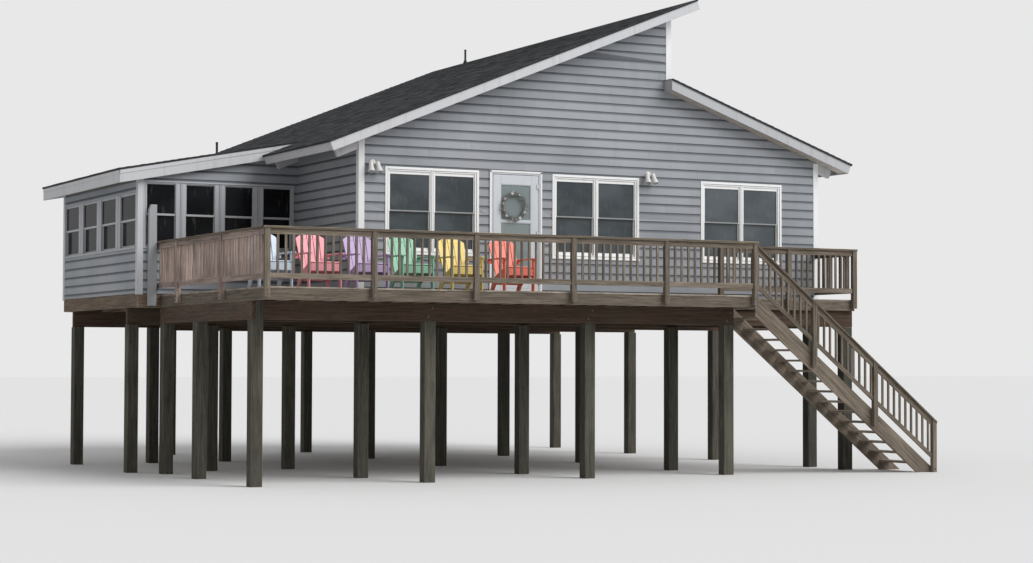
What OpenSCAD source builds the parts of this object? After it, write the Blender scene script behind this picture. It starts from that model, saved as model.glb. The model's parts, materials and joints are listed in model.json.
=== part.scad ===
// Stilt beach house: a gabled main block with a high clerestory ridge, a low sunroom wing
// on its left and a railed deck in front, all carried on square timber piles.
// +X runs along the gable wall, +Y goes from the deck into the house, +Z is up.
// Heights in the sections below are measured from the deck surface unless they say otherwise.

/* [Main block] */
// Width of the main block under the long roof slope, up to the clerestory wall
long_run = 6275; // [5200:5:7600]
// Width of the main block under the lower right slope
low_run = 3325; // [2700:5:4000]
// Depth of the main block from front to back
main_d = 10400; // [8600:10:12500]
// Thickness of the outside walls
wall_t = 150; // [120:10:200]
// Top of the long roof slope above the left wall's outer face
main_plate = 2850; // [2750:10:3100]
// Rise of the long slope for each unit of run
main_pitch = 0.406; // [0.3:0.002:0.45]
// Top of the lower right slope above the right wall's outer face
right_plate = 2850; // [2750:10:3100]
// Rise of the lower right slope for each unit of run
right_pitch = 0.347; // [0.25:0.001:0.4]
// Vertical thickness of the roof slabs
roof_t = 50; // [40:5:80]
// Overhang of the long slope past the front and back gable walls
rake_over = 430; // [300:10:500]
// Overhang of the lower right slope past the front and back gable walls
right_rake_over = 265; // [200:5:400]
// Roof overhang past the left wall
eave_over = 695; // [500:5:800]
// Roof overhang past the right wall
right_over = 565; // [400:5:650]
// Overhang of the ridge past the clerestory wall
ridge_over = 292; // [200:2:400]
// Spacing of the rafter stubs under the right eave
right_rafter_pitch = 2600; // [2000:10:3400]

/* [Sunroom wing] */
// How far the wing reaches out from the main block's left wall
wing_w = 3025; // [2500:5:3650]
// Depth of the wing from front to back
wing_d = 4680; // [3900:10:5400]
// Thickness of the wing's outside walls
wing_t = 90; // [80:5:120]
// From the main gable wall back to the wing's front wall
wing_back = 2837; // [2400:1:3300]
// Rise of the wing roof for each unit of run
wing_pitch = 0.1885; // [0.15:0.0005:0.21]
// Overhang of the wing roof past its left wall
wing_over = 365; // [250:5:450]
// Overhang of the wing roof past its front and back walls
wing_rake = 125; // [100:5:200]
// From the wing's front and back walls in to its piles
wing_in = 540; // [400:10:700]

/* [Deck] */
// Width of the front deck
deck_w = 9150; // [7600:10:11000]
// Depth of the front deck up to the gable wall
deck_d = 2440; // [2200:10:2900]
// Width of the side deck, from its left rim to the main block
side_w = 2610; // [2300:10:3000]
// Height of the deck surface above the ground
deck_h = 3180; // [2700:10:3600]
// Thickness of the deck boards
decking_t = 25; // [20:1:38]
// Depth of the deck joists and rim boards
joist_h = 185; // [140:5:235]
// Thickness of the joists and rim boards
joist_t = 38; // [32:1:50]
// Spacing of the deck joists
joist_pitch = 406; // [300:1:610]
// Side of the square piles
pile_w = 200; // [150:10:260]
// Depth of the beams that lie on the piles
beam_h = 300; // [235:5:360]
// Thickness of those doubled beams
beam_t = 76; // [60:2:100]
// From the deck's front rim back to the front piles
front_set = 690; // [400:10:800]
// Spacing of the piles along the front deck
pile_pitch = 3050; // [2700:10:3200]

/* [Railings] */
// Top of the rail cap above the deck
rail_h = 946; // [900:1:1050]
// Side of the square rail posts
post_w = 89; // [70:1:100]
// Usual spacing of the rail posts, which whole bays come nearest to
bay = 1829; // [1500:1:2200]
// Side of the square balusters
baluster_w = 36; // [25:1:45]
// Spacing of the balusters
baluster_pitch = 129; // [100:1:140]
// Width of the rail cap
cap_w = 140; // [120:1:160]
// Thickness of the rail cap
cap_t = 38; // [25:1:45]
// Depth of the rails under the cap and over the deck
rail_d = 89; // [70:1:100]
// Thickness of those rails
rail_t = 38; // [30:1:45]
// Gap under the lower rail
rail_gap = 119; // [80:1:130]

/* [Windows and door] */
// Overall width of a twin window
win_w = 1820; // [1500:10:2190]
// Overall height of a twin window
win_h = 1525; // [1300:5:1600]
// Top of the windows
win_top = 2212; // [2100:2:2250]
// White border beside the glass
win_side = 100; // [70:5:130]
// White border over and under the glass
win_head = 125; // [90:5:150]
// Bar between the two lites of a twin window
win_mull = 120; // [80:5:150]
// Height of the rail where the two sashes meet
meet_h = 45; // [30:5:70]
// How far window and door frames stand out from the wall
frame_out = 25; // [15:5:40]
// Thickness of the panes
pane_t = 10; // [6:1:20]
// Overall width of the door frame
door_w = 1050; // [1000:5:1100]
// Top of the door frame
door_top = 2230; // [2150:5:2260]
// Width of the door frame's jambs and head
jamb_w = 62; // [50:1:80]
// Thickness of the door leaf
leaf_t = 40; // [35:1:45]
// Gap round the door leaf
leaf_gap = 8; // [6:1:12]

/* [Stair] */
// Number of risers from the ground to the deck
risers = 17; // [16:1:18]
// Going of each tread
going = 235; // [220:1:250]
// Top of the stair's rail above the line of the treads' front edges
stair_rail_h = 886; // [850:1:950]
// Width of the stair over its stringers
stair_w = 1220; // [1000:10:1300]
// Depth of the stringer boards
stringer_h = 286; // [240:1:300]

/* [Hidden] */
$fn = 32;

// Plan lines, from the deck's front left corner
main_l = side_w;
clere_x = main_l + long_run;
main_r = clere_x + low_run;
main_f = deck_d;
main_b = main_f + main_d;
wing_l = main_l - wing_w;
wing_f = main_f + wing_back;
wing_b = wing_f + wing_d;
ridge_x = clere_x + ridge_over;
eave_x = main_l - eave_over;
right_x = main_r + right_over;
wing_x = wing_l - wing_over;
rake_f = main_f - rake_over;
rake_b = main_b + rake_over;
wing_rake_f = wing_f - wing_rake;
wing_rake_b = wing_b + wing_rake;
walk_f = stair_w;
walk_r = main_r - 10;

// Levels, from the deck surface
floor_z = 50;
floor_t = 40;
house_joist_h = 235;
joist_bot = -decking_t - joist_h;
beam_bot = joist_bot - beam_h;
house_joist_top = floor_z - floor_t;
house_joist_bot = house_joist_top - house_joist_h;
girder_bot = house_joist_bot - beam_h;
ground = -deck_h;

// Boards and panels of one node that butt together keep this hairline between them
joint = 0.5;
// Clearance between the underside of a sloped roof slab and what carries it
seat = 0.2;

// Top surfaces of the three roof planes
function main_top(x) = main_plate + main_pitch * (x - main_l);
function right_top(x) = right_plate + right_pitch * (main_r - x);
function wing_top(x) = main_plate - wing_pitch * (main_l - x);

// Tops of the walls and rafters under them
function under_main(x) = main_top(x) - roof_t - seat;
function under_right(x) = right_top(x) - roof_t - seat;
function under_wing(x) = wing_top(x) - roof_t - seat;

// Inner face of the clerestory wall
right_in = clere_x - wall_t;

// The object's own frame: ground level, in the middle of the footprint
fascia_t = 25;
min_x = wing_x - fascia_t;
max_x = max(right_x + fascia_t, deck_w + risers * going);
cap_out = (cap_w - post_w) / 3;
min_y = -post_w - cap_out;
max_y = rake_b + fascia_t;
module place() translate([-(min_x + max_x) / 2, -(min_y + max_y) / 2, deck_h]) children();

// A block from its lowest corner to its highest corner
module block(low, high) translate(low) cube(high - low);

// A board whose outline is drawn in X and Z, from y0 to y1
module along_y(outline, y0, y1)
    translate([0, y1, 0]) rotate([90, 0, 0]) linear_extrude(y1 - y0) polygon(outline);

// A board whose outline is drawn in Y and Z, from x0 to x1
module along_x(outline, x0, x1)
    translate([x0, 0, 0]) rotate([90, 0, 90]) linear_extrude(x1 - x0) polygon(outline);

/* Foundations */
front_pile_n = round(deck_w / pile_pitch);
front_pile_x = [for (i = [0 : front_pile_n]) i < front_pile_n ? i * pile_pitch : deck_w - pile_w];
side_pile_y = [main_f + 890, wing_f - pile_w];
module front_pile(x, first) {
    difference() {
        block([x, front_set, ground], [x + pile_w, front_set + pile_w, joist_bot]);
        if (first)
            block([x - 1, front_set - 1, beam_bot], [x + beam_t, front_set + pile_w + 1, 0]);
        else
            block([x - 1, front_set - 1, beam_bot], [x + pile_w + 1, front_set + beam_t, 0]);
    }
}
module side_pile(y) {
    difference() {
        block([0, y, ground], [pile_w, y + pile_w, joist_bot]);
        block([-1, y - 1, beam_bot], [beam_t, y + pile_w + 1, 0]);
    }
}
walk_pile_y = walk_f + 2 * joist_t;
module deck_piles() color("#6f7468") place() {
    for (x = front_pile_x) front_pile(x, x == 0);
    for (y = side_pile_y) side_pile(y);
    block([walk_r - pile_w, walk_pile_y, ground], [walk_r, walk_pile_y + pile_w, beam_bot]);
}

house_pile_x = [for (i = [0 : 3]) main_l + i * (main_r - main_l - pile_w) / 3];
house_pile_y = [main_f, wing_f + wing_in, wing_b - wing_in - pile_w, main_b - pile_w];
wing_pile_x = [wing_l, wing_l + wing_w / 2];
module house_pile(x, y) block([x, y, ground], [x + pile_w, y + pile_w, girder_bot]);
module house_piles() color("#6f7468") place() {
    for (x = house_pile_x, y = house_pile_y) house_pile(x, y);
    for (x = wing_pile_x, y = [house_pile_y[1], house_pile_y[2]]) house_pile(x, y);
}

/* Floor framing */
cross_y = main_f - pile_w / 2;
walk_beam_lap = 800;
module deck_beams() color("#4a3b30") place() {
    block([pile_w, front_set, beam_bot], [deck_w, front_set + beam_t, joist_bot]);
    block([0, front_set, beam_bot], [beam_t, wing_f, joist_bot]);
    block([beam_t + joint, cross_y, beam_bot], [main_l, cross_y + beam_t, joist_bot]);
    block([deck_w - walk_beam_lap, walk_pile_y, beam_bot],
        [walk_r, walk_pile_y + beam_t, joist_bot]);
}

module house_girders() color("#4a3b30") place()
    for (i = [0 : 3]) {
        x0 = (i == 1 || i == 2) ? wing_l : main_l;
        y = house_pile_y[i] + (pile_w - beam_t) / 2;
        block([x0, y, girder_bot], [main_r, y + beam_t, house_joist_bot]);
    }

deck_joist_n = floor((deck_w - 2 * joist_t) / joist_pitch);
side_joist_n = floor((wing_f - main_f) / joist_pitch);
walk_joist_n = floor((walk_r - deck_w) / joist_pitch);
module deck_joists() color("#6b6258") place() {
    for (i = [1 : deck_joist_n]) {
        x = i * joist_pitch;
        y1 = x + joist_t < main_l ? main_f : main_f - joist_t;
        block([x, joist_t, joist_bot], [x + joist_t, y1, -decking_t]);
    }
    for (i = [1 : side_joist_n - 1]) {
        y = main_f + i * joist_pitch;
        block([joist_t, y, joist_bot], [main_l, y + joist_t, -decking_t]);
    }
    for (i = [1 : walk_joist_n]) {
        x = deck_w + i * joist_pitch;
        if (x + joist_t < walk_r - joist_t)
            block([x, walk_f + joist_t, joist_bot], [x + joist_t, main_f - joist_t, -decking_t]);
    }
}

module rim_board(x0, y0, x1, y1) block([x0, y0, joist_bot], [x1, y1, -decking_t]);
module deck_rim() color("#9a8f83") place() {
    rim_board(0, 0, deck_w, joist_t);
    rim_board(0, joist_t + joint, joist_t, wing_f);
    rim_board(joist_t + joint, main_f, main_l, main_f + joist_t);
    rim_board(joist_t + joint, wing_f - joist_t, main_l, wing_f);
    rim_board(deck_w - joist_t, joist_t + joint, deck_w, walk_f);
    rim_board(deck_w - joist_t, walk_f + joint, walk_r, walk_f + joist_t);
    rim_board(walk_r - joist_t, walk_f + joist_t + joint, walk_r, main_f - joist_t - joint);
    rim_board(main_l + joint, main_f - joist_t, walk_r, main_f);
}

module deck_panel(x0, y0, x1, y1) block([x0, y0, -decking_t], [x1, y1, 0]);
module deck_floor() color("#a39788") place() {
    deck_panel(0, 0, deck_w, main_f);
    deck_panel(0, main_f + joint, main_l, wing_f);
    deck_panel(deck_w + joint, walk_f, walk_r, main_f);
}

house_joist_pitch = 610;
house_joist_n = floor((main_r - main_l) / house_joist_pitch);
wing_joist_n = floor(wing_w / house_joist_pitch);
module floor_frame(x0, x1, y0, y1, n) {
    z0 = house_joist_bot;
    z1 = house_joist_top;
    in0 = y0 + joist_t + joint;
    in1 = y1 - joist_t - joint;
    block([x0, y0, z0], [x1, y0 + joist_t, z1]);
    block([x0, y1 - joist_t, z0], [x1, y1, z1]);
    for (i = [1 : n - 1]) {
        x = x0 + i * (x1 - x0) / n;
        block([x, in0, z0], [x + joist_t, in1, z1]);
    }
    block([x0, in0, z0], [x0 + joist_t, in1, z1]);
    block([x1 - joist_t, in0, z0], [x1, in1, z1]);
}
module house_joists() color("#5b4a3c") place() {
    floor_frame(main_l, main_r, main_f, main_b, house_joist_n);
    floor_frame(wing_l, main_l - joint, wing_f, wing_b, wing_joist_n);
}

module house_floor() color("#8a7a66") place() {
    block([main_l, main_f, house_joist_top], [main_r, main_b, floor_z]);
    block([wing_l, wing_f, house_joist_top], [main_l - joint, wing_b, floor_z]);
}

/* Windows */
// Plain wall left of the first window, either side of the door and right of the second window,
// in proportion
long_parts = [482, 211, 220, 672];
// Plain wall left and right of the third window, in proportion
low_parts = [675, 830];
function total(v, i = 0) = i == len(v) ? 0 : v[i] + total(v, i + 1);
long_gaps = (long_run - 2 * win_w - door_w) / total(long_parts) * long_parts;
low_gaps = (low_run - win_w) / total(low_parts) * low_parts;
door_l = main_l + long_gaps[0] + win_w + long_gaps[1];
door_r = door_l + door_w;
front_window_l = [main_l + long_gaps[0], door_r + long_gaps[2], clere_x + low_gaps[0]];
win_bot = win_top - win_h;
rear_in = 900;
rear_window_x = [main_l + rear_in, (main_l + main_r - win_w) / 2, main_r - rear_in - win_w];
right_in_y = 1100;
right_window_y = [main_f + right_in_y, (main_f + main_b - win_w) / 2, main_b - right_in_y - win_w];
pane_in = 15;

// A frame with a row of lites, drawn in its own plane: X along the wall, Z up, Y into the wall.
// The sash bar crosses each lite in front of its pane.
module window_frame(w, h, lites, side, head, mull, depth) {
    lite_w = (w - 2 * side - (lites - 1) * mull) / lites;
    meet_z = h / 2 - meet_h / 2;
    difference() {
        translate([0, -frame_out, 0]) cube([w, depth + frame_out, h]);
        for (i = [0 : lites - 1]) {
            x = side + i * (lite_w + mull);
            translate([x, -frame_out - 1, head]) cube([lite_w, depth + frame_out + 2, meet_z - head]);
            translate([x, -frame_out - 1, meet_z + meet_h])
                cube([lite_w, depth + frame_out + 2, h - head - meet_z - meet_h]);
        }
    }
}
module window_panes(w, h, lites, side, head, mull) {
    lite_w = (w - 2 * side - (lites - 1) * mull) / lites;
    meet_z = h / 2 - meet_h / 2;
    for (i = [0 : lites - 1]) {
        x = side + i * (lite_w + mull);
        translate([x, pane_in, head]) cube([lite_w, pane_t, meet_z - head]);
        translate([x, 0, meet_z + meet_h]) cube([lite_w, pane_t, h - head - meet_z - meet_h]);
    }
}
module twin_frame() window_frame(win_w, win_h, 2, win_side, win_head, win_mull, wall_t);
module twin_panes() window_panes(win_w, win_h, 2, win_side, win_head, win_mull);
module twin_hole() translate([0, -1, 0]) cube([win_w, wall_t + 2, win_h]);

// Places for a window: on the front, back, right, wing front, wing left and wing back walls
module on_front(x, z) translate([x, main_f, z]) children();
module on_back(x, z) translate([x + win_w, main_b, z]) rotate([0, 0, 180]) children();
module on_right(y, z) translate([main_r, y, z]) rotate([0, 0, 90]) children();

/* Wing windows */
wing_lites = 4;
wing_mull = 215;
wing_edge = 65;
wing_head = 65;
wing_win_gap = 80;
wing_win_w = wing_w - wing_t - wing_win_gap;
wing_win_h = 1210;
wing_win_z = 830;
wing_win_x = wing_l + wing_t;
wing_side_mull = 290;
wing_side_edge = 42;
wing_side_w = wing_d - 2 * wing_t;
wing_side_h = 1025;
module wing_front_place() translate([wing_win_x, wing_f, wing_win_z]) children();
module wing_back_place() translate([wing_win_x + wing_win_w, wing_b, wing_win_z])
    rotate([0, 0, 180]) children();
module wing_left_place() translate([wing_l, wing_b - wing_t, wing_win_z])
    rotate([0, 0, -90]) children();

/* Walls */
module front_wall_left() color("#aab3b8") place() difference() {
    along_y([[main_l, floor_z], [door_l, floor_z], [door_l, under_main(door_l)],
        [main_l, under_main(main_l)]], main_f, main_f + wall_t);
    on_front(front_window_l[0], win_bot) twin_hole();
}

module front_wall_over_door() color("#aab3b8") place()
    along_y([[door_l, door_top], [door_r, door_top], [door_r, under_main(door_r)],
        [door_l, under_main(door_l)]], main_f, main_f + wall_t);

module front_wall_right() color("#aab3b8") place() difference() {
    along_y([[door_r, floor_z], [clere_x, floor_z], [clere_x, under_main(clere_x)],
        [door_r, under_main(door_r)]], main_f, main_f + wall_t);
    on_front(front_window_l[1], win_bot) twin_hole();
}

module front_wall_end() color("#aab3b8") place() difference() {
    along_y([[clere_x, floor_z], [main_r, floor_z], [main_r, under_right(main_r)],
        [clere_x, under_right(clere_x)]], main_f, main_f + wall_t);
    on_front(front_window_l[2], win_bot) twin_hole();
}

module back_wall() color("#aab3b8") place() difference() {
    union() {
        along_y([[main_l, floor_z], [clere_x, floor_z], [clere_x, under_main(clere_x)],
            [main_l, under_main(main_l)]], main_b - wall_t, main_b);
        along_y([[clere_x + joint, floor_z], [main_r, floor_z],
            [main_r, under_right(main_r)],
            [clere_x + joint, under_right(clere_x + joint)]], main_b - wall_t, main_b);
    }
    for (x = rear_window_x) on_back(x, win_bot) twin_hole();
}

arch_in = 900;
arch_y = [wing_f + arch_in, wing_b - arch_in];
arch_top = 2080;
module left_wall_part(y0, y1, z0)
    along_y([[main_l, z0], [main_l + wall_t, z0],
        [main_l + wall_t, under_main(main_l + wall_t)],
        [main_l, under_main(main_l)]], y0, y1);
module left_wall() color("#9aa4aa") place() {
    left_wall_part(main_f + wall_t, arch_y[0] - joint, floor_z);
    left_wall_part(arch_y[0], arch_y[1], arch_top);
    left_wall_part(arch_y[1] + joint, main_b - wall_t, floor_z);
}

module right_wall() color("#9aa4aa") place() difference() {
    along_y([[main_r - wall_t, floor_z], [main_r, floor_z], [main_r, under_right(main_r)],
        [main_r - wall_t, under_right(main_r - wall_t)]], main_f + wall_t, main_b - wall_t);
    for (y = right_window_y) on_right(y, win_bot) twin_hole();
}

module clerestory_wall() color("#9aa4aa") place()
    along_y([[right_in, under_right(right_in)], [clere_x, under_right(clere_x)],
        [clere_x, under_main(clere_x)], [right_in, under_main(right_in)]],
        main_f + wall_t, main_b - wall_t);

module wing_end_outline(y0, y1)
    along_y([[wing_l, floor_z], [main_l, floor_z], [main_l, under_wing(main_l)],
        [wing_l, under_wing(wing_l)]], y0, y1);

module wing_front_wall() color("#9aa4aa") place() difference() {
    wing_end_outline(wing_f, wing_f + wing_t);
    wing_front_place() translate([0, -1, 0]) cube([wing_win_w, wing_t + 2, wing_win_h]);
}

module wing_back_wall() color("#9aa4aa") place() difference() {
    wing_end_outline(wing_b - wing_t, wing_b);
    wing_back_place() translate([0, -1, 0]) cube([wing_win_w, wing_t + 2, wing_win_h]);
}

module wing_left_wall() color("#9aa4aa") place() difference() {
    along_y([[wing_l, floor_z], [wing_l + wing_t, floor_z],
        [wing_l + wing_t, under_wing(wing_l + wing_t)], [wing_l, under_wing(wing_l)]],
        wing_f + wing_t, wing_b - wing_t);
    wing_left_place() translate([0, -1, 0]) cube([wing_side_w, wing_t + 2, wing_side_h]);
}

/* Roofs */
module main_slab(x, y0, y1)
    along_y([[x, main_top(x) - roof_t], [ridge_x, main_top(ridge_x) - roof_t],
        [ridge_x, main_top(ridge_x)], [x, main_top(x)]], y0, y1);
module main_roof() color("#3b3d40") place() {
    main_slab(eave_x, rake_f, wing_rake_f - fascia_t - joint);
    main_slab(main_l, wing_rake_f - fascia_t, wing_rake_b + fascia_t);
    main_slab(eave_x, wing_rake_b + fascia_t + joint, rake_b);
}

// The right slope's overhangs wrap round the clerestory's foot onto the gable walls
wrap = 100;
right_wrap = clere_x - wrap;
right_rake_f = main_f - right_rake_over;
right_rake_b = main_b + right_rake_over;
module right_slab(x0, x1, y0, y1)
    along_y([[x0, right_top(x0) - roof_t], [x1, right_top(x1) - roof_t],
        [x1, right_top(x1)], [x0, right_top(x0)]], y0, y1);
module right_roof() color("#3b3d40") place() {
    right_slab(clere_x, right_x, right_rake_f, right_rake_b);
    right_slab(right_wrap, clere_x - joint, right_rake_f, main_f);
    right_slab(right_wrap, clere_x - joint, main_b, right_rake_b);
}

module wing_roof() color("#3b3d40") place()
    along_y([[wing_x, wing_top(wing_x) - roof_t], [main_l, wing_top(main_l) - roof_t],
        [main_l, wing_top(main_l)], [wing_x, wing_top(wing_x)]], wing_rake_f, wing_rake_b);

// From the top corner of a square cut through a board of upright depth h, pitched at p,
// to its bottom corner
function square_cut(p, h) = [p * h / (1 + p * p), -h / (1 + p * p)];

/* Rafter stubs with square-cut ends stand out under the eaves, next to the corners */
stub_h = 305;
stub_t = 89;
left_stub = 505;
right_stub = 395;
left_stub_y = [main_f + joint, wing_f - stub_t - joint, wing_b + joint, main_b - stub_t - joint];
right_stub_n = round(main_d / right_rafter_pitch);
right_stub_y = [for (i = [0 : right_stub_n])
    main_f + joint + i * (main_d - stub_t - 2 * joint) / right_stub_n];
module stub(x, top, end_x, end_top, p, y)
    along_y([[x, top - stub_h], [x, top], [end_x, end_top],
        [end_x, end_top] + square_cut(p, stub_h)], y, y + stub_t);
module rafter_tails() color("#d9d9d4") place() {
    left_end = main_l - left_stub;
    right_end = main_r + right_stub;
    for (y = left_stub_y)
        stub(main_l, under_main(main_l), left_end, under_main(left_end), main_pitch, y);
    for (y = right_stub_y)
        stub(main_r, under_right(main_r), right_end, under_right(right_end), -right_pitch, y);
}

/* Fascias: boards along the sloping edges and, square to the slopes, across their ends */
main_rake_d = 187;
eave_d = 175;
right_fascia_d = 195;
wing_rake_d = 243;
soffit_d = 185;
soffit_t = 15;
// Top inner edges of the eave boards, which lean against the slabs' lower corners
left_board_x = eave_x + square_cut(-main_pitch, roof_t)[0];
right_board_x = right_x + square_cut(right_pitch, roof_t)[0];
module rake_board(x0, x1, z0, z1, depth, y0, y1)
    along_y([[x0, z0 - depth], [x1, z1 - depth], [x1, z1], [x0, z0]], y0, y1);
module eave_board(x, z, out, p, depth, y0, y1)
    along_y([[x, z], [x, z] + square_cut(p, depth),
        [x + out, z + p * out] + square_cut(p, depth), [x + out, z + p * out]], y0, y1);

module main_fascia() color("#dcdcd8") place() {
    x0 = left_board_x - fascia_t;
    x1 = ridge_x + fascia_t;
    cut = square_cut(main_pitch, main_rake_d);
    for (y = [rake_f - fascia_t, rake_b])
        along_y([[x0, main_top(x0)] + cut, [x1, main_top(x1)] + cut, [x1, main_top(x1)],
            [x0, main_top(x0)]], y, y + fascia_t);
    for (y = [[rake_f + joint, wing_rake_f - fascia_t], [wing_rake_b + fascia_t, rake_b - joint]])
        eave_board(left_board_x, main_top(left_board_x), -fascia_t, main_pitch, eave_d, y[0], y[1]);
    eave_board(ridge_x, main_top(ridge_x), fascia_t, main_pitch, eave_d,
        rake_f + joint, rake_b - joint);
}

// The right slope's front and back overhangs are boxed in, with a return at the upper end
module right_fascia() color("#dcdcd8") place() {
    x0 = right_wrap - fascia_t;
    x1 = right_board_x + fascia_t;
    top0 = right_top(right_wrap);
    soffit_x = [right_wrap + joint, right_x - square_cut(right_pitch, soffit_d - roof_t)[0] - joint];
    for (y = [right_rake_f - fascia_t, right_rake_b])
        along_y([[x0, right_top(x0) - right_fascia_d],
            [x1, right_top(x1)] + square_cut(-right_pitch, right_fascia_d),
            [x1, right_top(x1)], [x0, right_top(x0)]], y, y + fascia_t);
    eave_board(right_board_x, right_top(right_board_x), fascia_t, -right_pitch, right_fascia_d,
        right_rake_f + joint, right_rake_b - joint);
    for (y = [[right_rake_f + joint, main_f - joint], [main_b + joint, right_rake_b - joint]]) {
        block([x0, y[0], top0 - right_fascia_d], [right_wrap, y[1], top0]);
        rake_board(soffit_x[0], soffit_x[1], right_top(soffit_x[0]) - soffit_d + soffit_t,
            right_top(soffit_x[1]) - soffit_d + soffit_t, soffit_t, y[0], y[1]);
    }
}

module wing_fascia() color("#dcdcd8") place() {
    x0 = wing_x - fascia_t;
    y0 = wing_rake_f - fascia_t;
    y1 = wing_rake_b + fascia_t;
    rake_board(x0, main_l, wing_top(x0), wing_top(main_l), wing_rake_d, y0, wing_rake_f);
    rake_board(x0, main_l, wing_top(x0), wing_top(main_l), wing_rake_d, wing_rake_b, y1);
    block([x0, wing_rake_f + joint, wing_top(wing_x) - wing_rake_d],
        [wing_x, wing_rake_b - joint, wing_top(wing_x)]);
}

/* Corner boards stand on the wall faces */
board_w = 90;
board_t = 22;
board_gap = 35;
stub_gap = 10;
wing_board_w = wing_t - 2;
// An L of two boards round the outside corner (x, y) of walls that run off along dx and dy;
// the leg on the wall along x rises to end_z, the other one to side_z
module corner_board(x, y, dx, dy, w, z0, end_z, side_z) {
    ox = x - dx * board_t;
    oy = y - dy * board_t;
    ex = x + dx * w;
    ey = y + dy * w;
    block([min(ox, ex), min(oy, y), z0], [max(ox, ex), max(oy, y), end_z]);
    block([min(ox, x), min(oy, ey), z0], [max(ox, x), max(oy, ey), side_z]);
}
module corner_boards() color("#e4e4e0") place() {
    left_z = under_main(main_l) - stub_h - stub_gap;
    right_z = under_right(main_r) - stub_h - stub_gap;
    clere_z = under_main(clere_x - board_w);
    wing_z = under_wing(wing_l) - board_gap;
    for (y = [[main_f, 1], [main_b, -1]]) {
        corner_board(main_l, y[0], 1, y[1], board_w, 0, under_main(main_l - board_t), left_z);
        corner_board(main_r, y[0], -1, y[1], board_w, 0,
            right_top(main_r + board_t) - soffit_d - seat, right_z);
        corner_board(clere_x, y[0], -1, y[1], board_w, right_top(clere_x - board_w) + seat,
            clere_z, clere_z);
    }
    corner_board(wing_l, wing_f, 1, 1, wing_board_w, 0, wing_z, wing_z);
    corner_board(wing_l, wing_b, 1, -1, wing_board_w, 0, wing_z, wing_z);
}

/* Window nodes */
module front_windows() color("#eeeeec") place()
    for (x = front_window_l) on_front(x, win_bot) twin_frame();
module front_glass() color("#3f474a") place()
    for (x = front_window_l) on_front(x, win_bot) twin_panes();

module wing_windows() color("#e2e2de") place() {
    wing_front_place()
        window_frame(wing_win_w, wing_win_h, wing_lites, wing_edge, wing_head, wing_mull, wing_t);
    wing_back_place()
        window_frame(wing_win_w, wing_win_h, wing_lites, wing_edge, wing_head, wing_mull, wing_t);
    wing_left_place()
        window_frame(wing_side_w, wing_side_h, wing_lites, wing_side_edge, wing_head,
            wing_side_mull, wing_t);
}
module wing_glass() color("#2b3134") place() {
    wing_front_place()
        window_panes(wing_win_w, wing_win_h, wing_lites, wing_edge, wing_head, wing_mull);
    wing_back_place()
        window_panes(wing_win_w, wing_win_h, wing_lites, wing_edge, wing_head, wing_mull);
    wing_left_place()
        window_panes(wing_side_w, wing_side_h, wing_lites, wing_side_edge, wing_head,
            wing_side_mull);
}

module rear_windows() color("#eeeeec") place() {
    for (x = rear_window_x) on_back(x, win_bot) twin_frame();
    for (y = right_window_y) on_right(y, win_bot) twin_frame();
}
module rear_glass() color("#3f474a") place() {
    for (x = rear_window_x) on_back(x, win_bot) twin_panes();
    for (y = right_window_y) on_right(y, win_bot) twin_panes();
}

/* Door */
leaf_l = door_l + jamb_w + leaf_gap;
leaf_r = door_r - jamb_w - leaf_gap;
sill_z = floor_z + 30;
leaf_bot = sill_z + leaf_gap;
leaf_top = door_top - jamb_w - leaf_gap;
leaf_f = main_f - frame_out;
stile = 150;
top_rail = 170;
mid_rail_z = 1310;
mid_rail_h = 40;
kick_h = 250;
hinge_in = 150;
hinge_x = leaf_r + leaf_gap / 2;
hinge_y = leaf_f - 12;
hinge_r = 8;
pin_r = 4;
hinge_h = 80;
hinge_z = [leaf_bot + hinge_in, (leaf_bot + leaf_top - hinge_h) / 2,
    leaf_top - hinge_in - hinge_h];
strap_w = 40;
strap_t = 4;
pin_gap = 0.08;
lug_w = 30;
lug_h = 18;
lug_gap = 5;

module hinge_pin(z) {
    z0 = z - lug_gap - lug_h;
    z1 = z + hinge_h + lug_gap;
    translate([hinge_x, hinge_y, z0]) cylinder(h = z1 + lug_h - z0, r = pin_r);
    for (lug_z = [z0, z1])
        block([hinge_x - 1, hinge_y - pin_r, lug_z], [hinge_x + lug_w, leaf_f, lug_z + lug_h]);
}
module door_frame() color("#eeeeec") place() {
    back = main_f + wall_t;
    head_z = door_top - jamb_w;
    block([door_l, leaf_f, floor_z], [door_l + jamb_w, back, door_top]);
    union() {
        block([door_r - jamb_w, leaf_f, floor_z], [door_r, back, door_top]);
        for (z = hinge_z) hinge_pin(z);
    }
    block([door_l + jamb_w + joint, leaf_f, floor_z], [door_r - jamb_w - joint, back, sill_z]);
    block([door_l + jamb_w + joint, leaf_f, head_z], [door_r - jamb_w - joint, back, door_top]);
}

module door_leaf() color("#f0f0ee") place() {
    difference() {
        block([leaf_l, leaf_f, leaf_bot], [leaf_r, leaf_f + leaf_t, leaf_top]);
        block([leaf_l + stile, leaf_f - 1, leaf_bot + kick_h],
            [leaf_r - stile, leaf_f + leaf_t + 1, mid_rail_z]);
        block([leaf_l + stile, leaf_f - 1, mid_rail_z + mid_rail_h],
            [leaf_r - stile, leaf_f + leaf_t + 1, leaf_top - top_rail]);
    }
    for (z = hinge_z)
        translate([0, 0, z]) difference() {
            union() {
                translate([hinge_x, hinge_y, 0]) cylinder(h = hinge_h, r = hinge_r);
                block([hinge_x - strap_w, hinge_y - strap_t / 2, 0],
                    [hinge_x, hinge_y + strap_t / 2, hinge_h]);
                block([hinge_x - strap_w, hinge_y - strap_t / 2, 0],
                    [hinge_x - strap_w / 2, leaf_f, hinge_h]);
            }
            translate([hinge_x, hinge_y, -1]) cylinder(h = hinge_h + 2, r = pin_r + pin_gap);
        }
}

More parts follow.
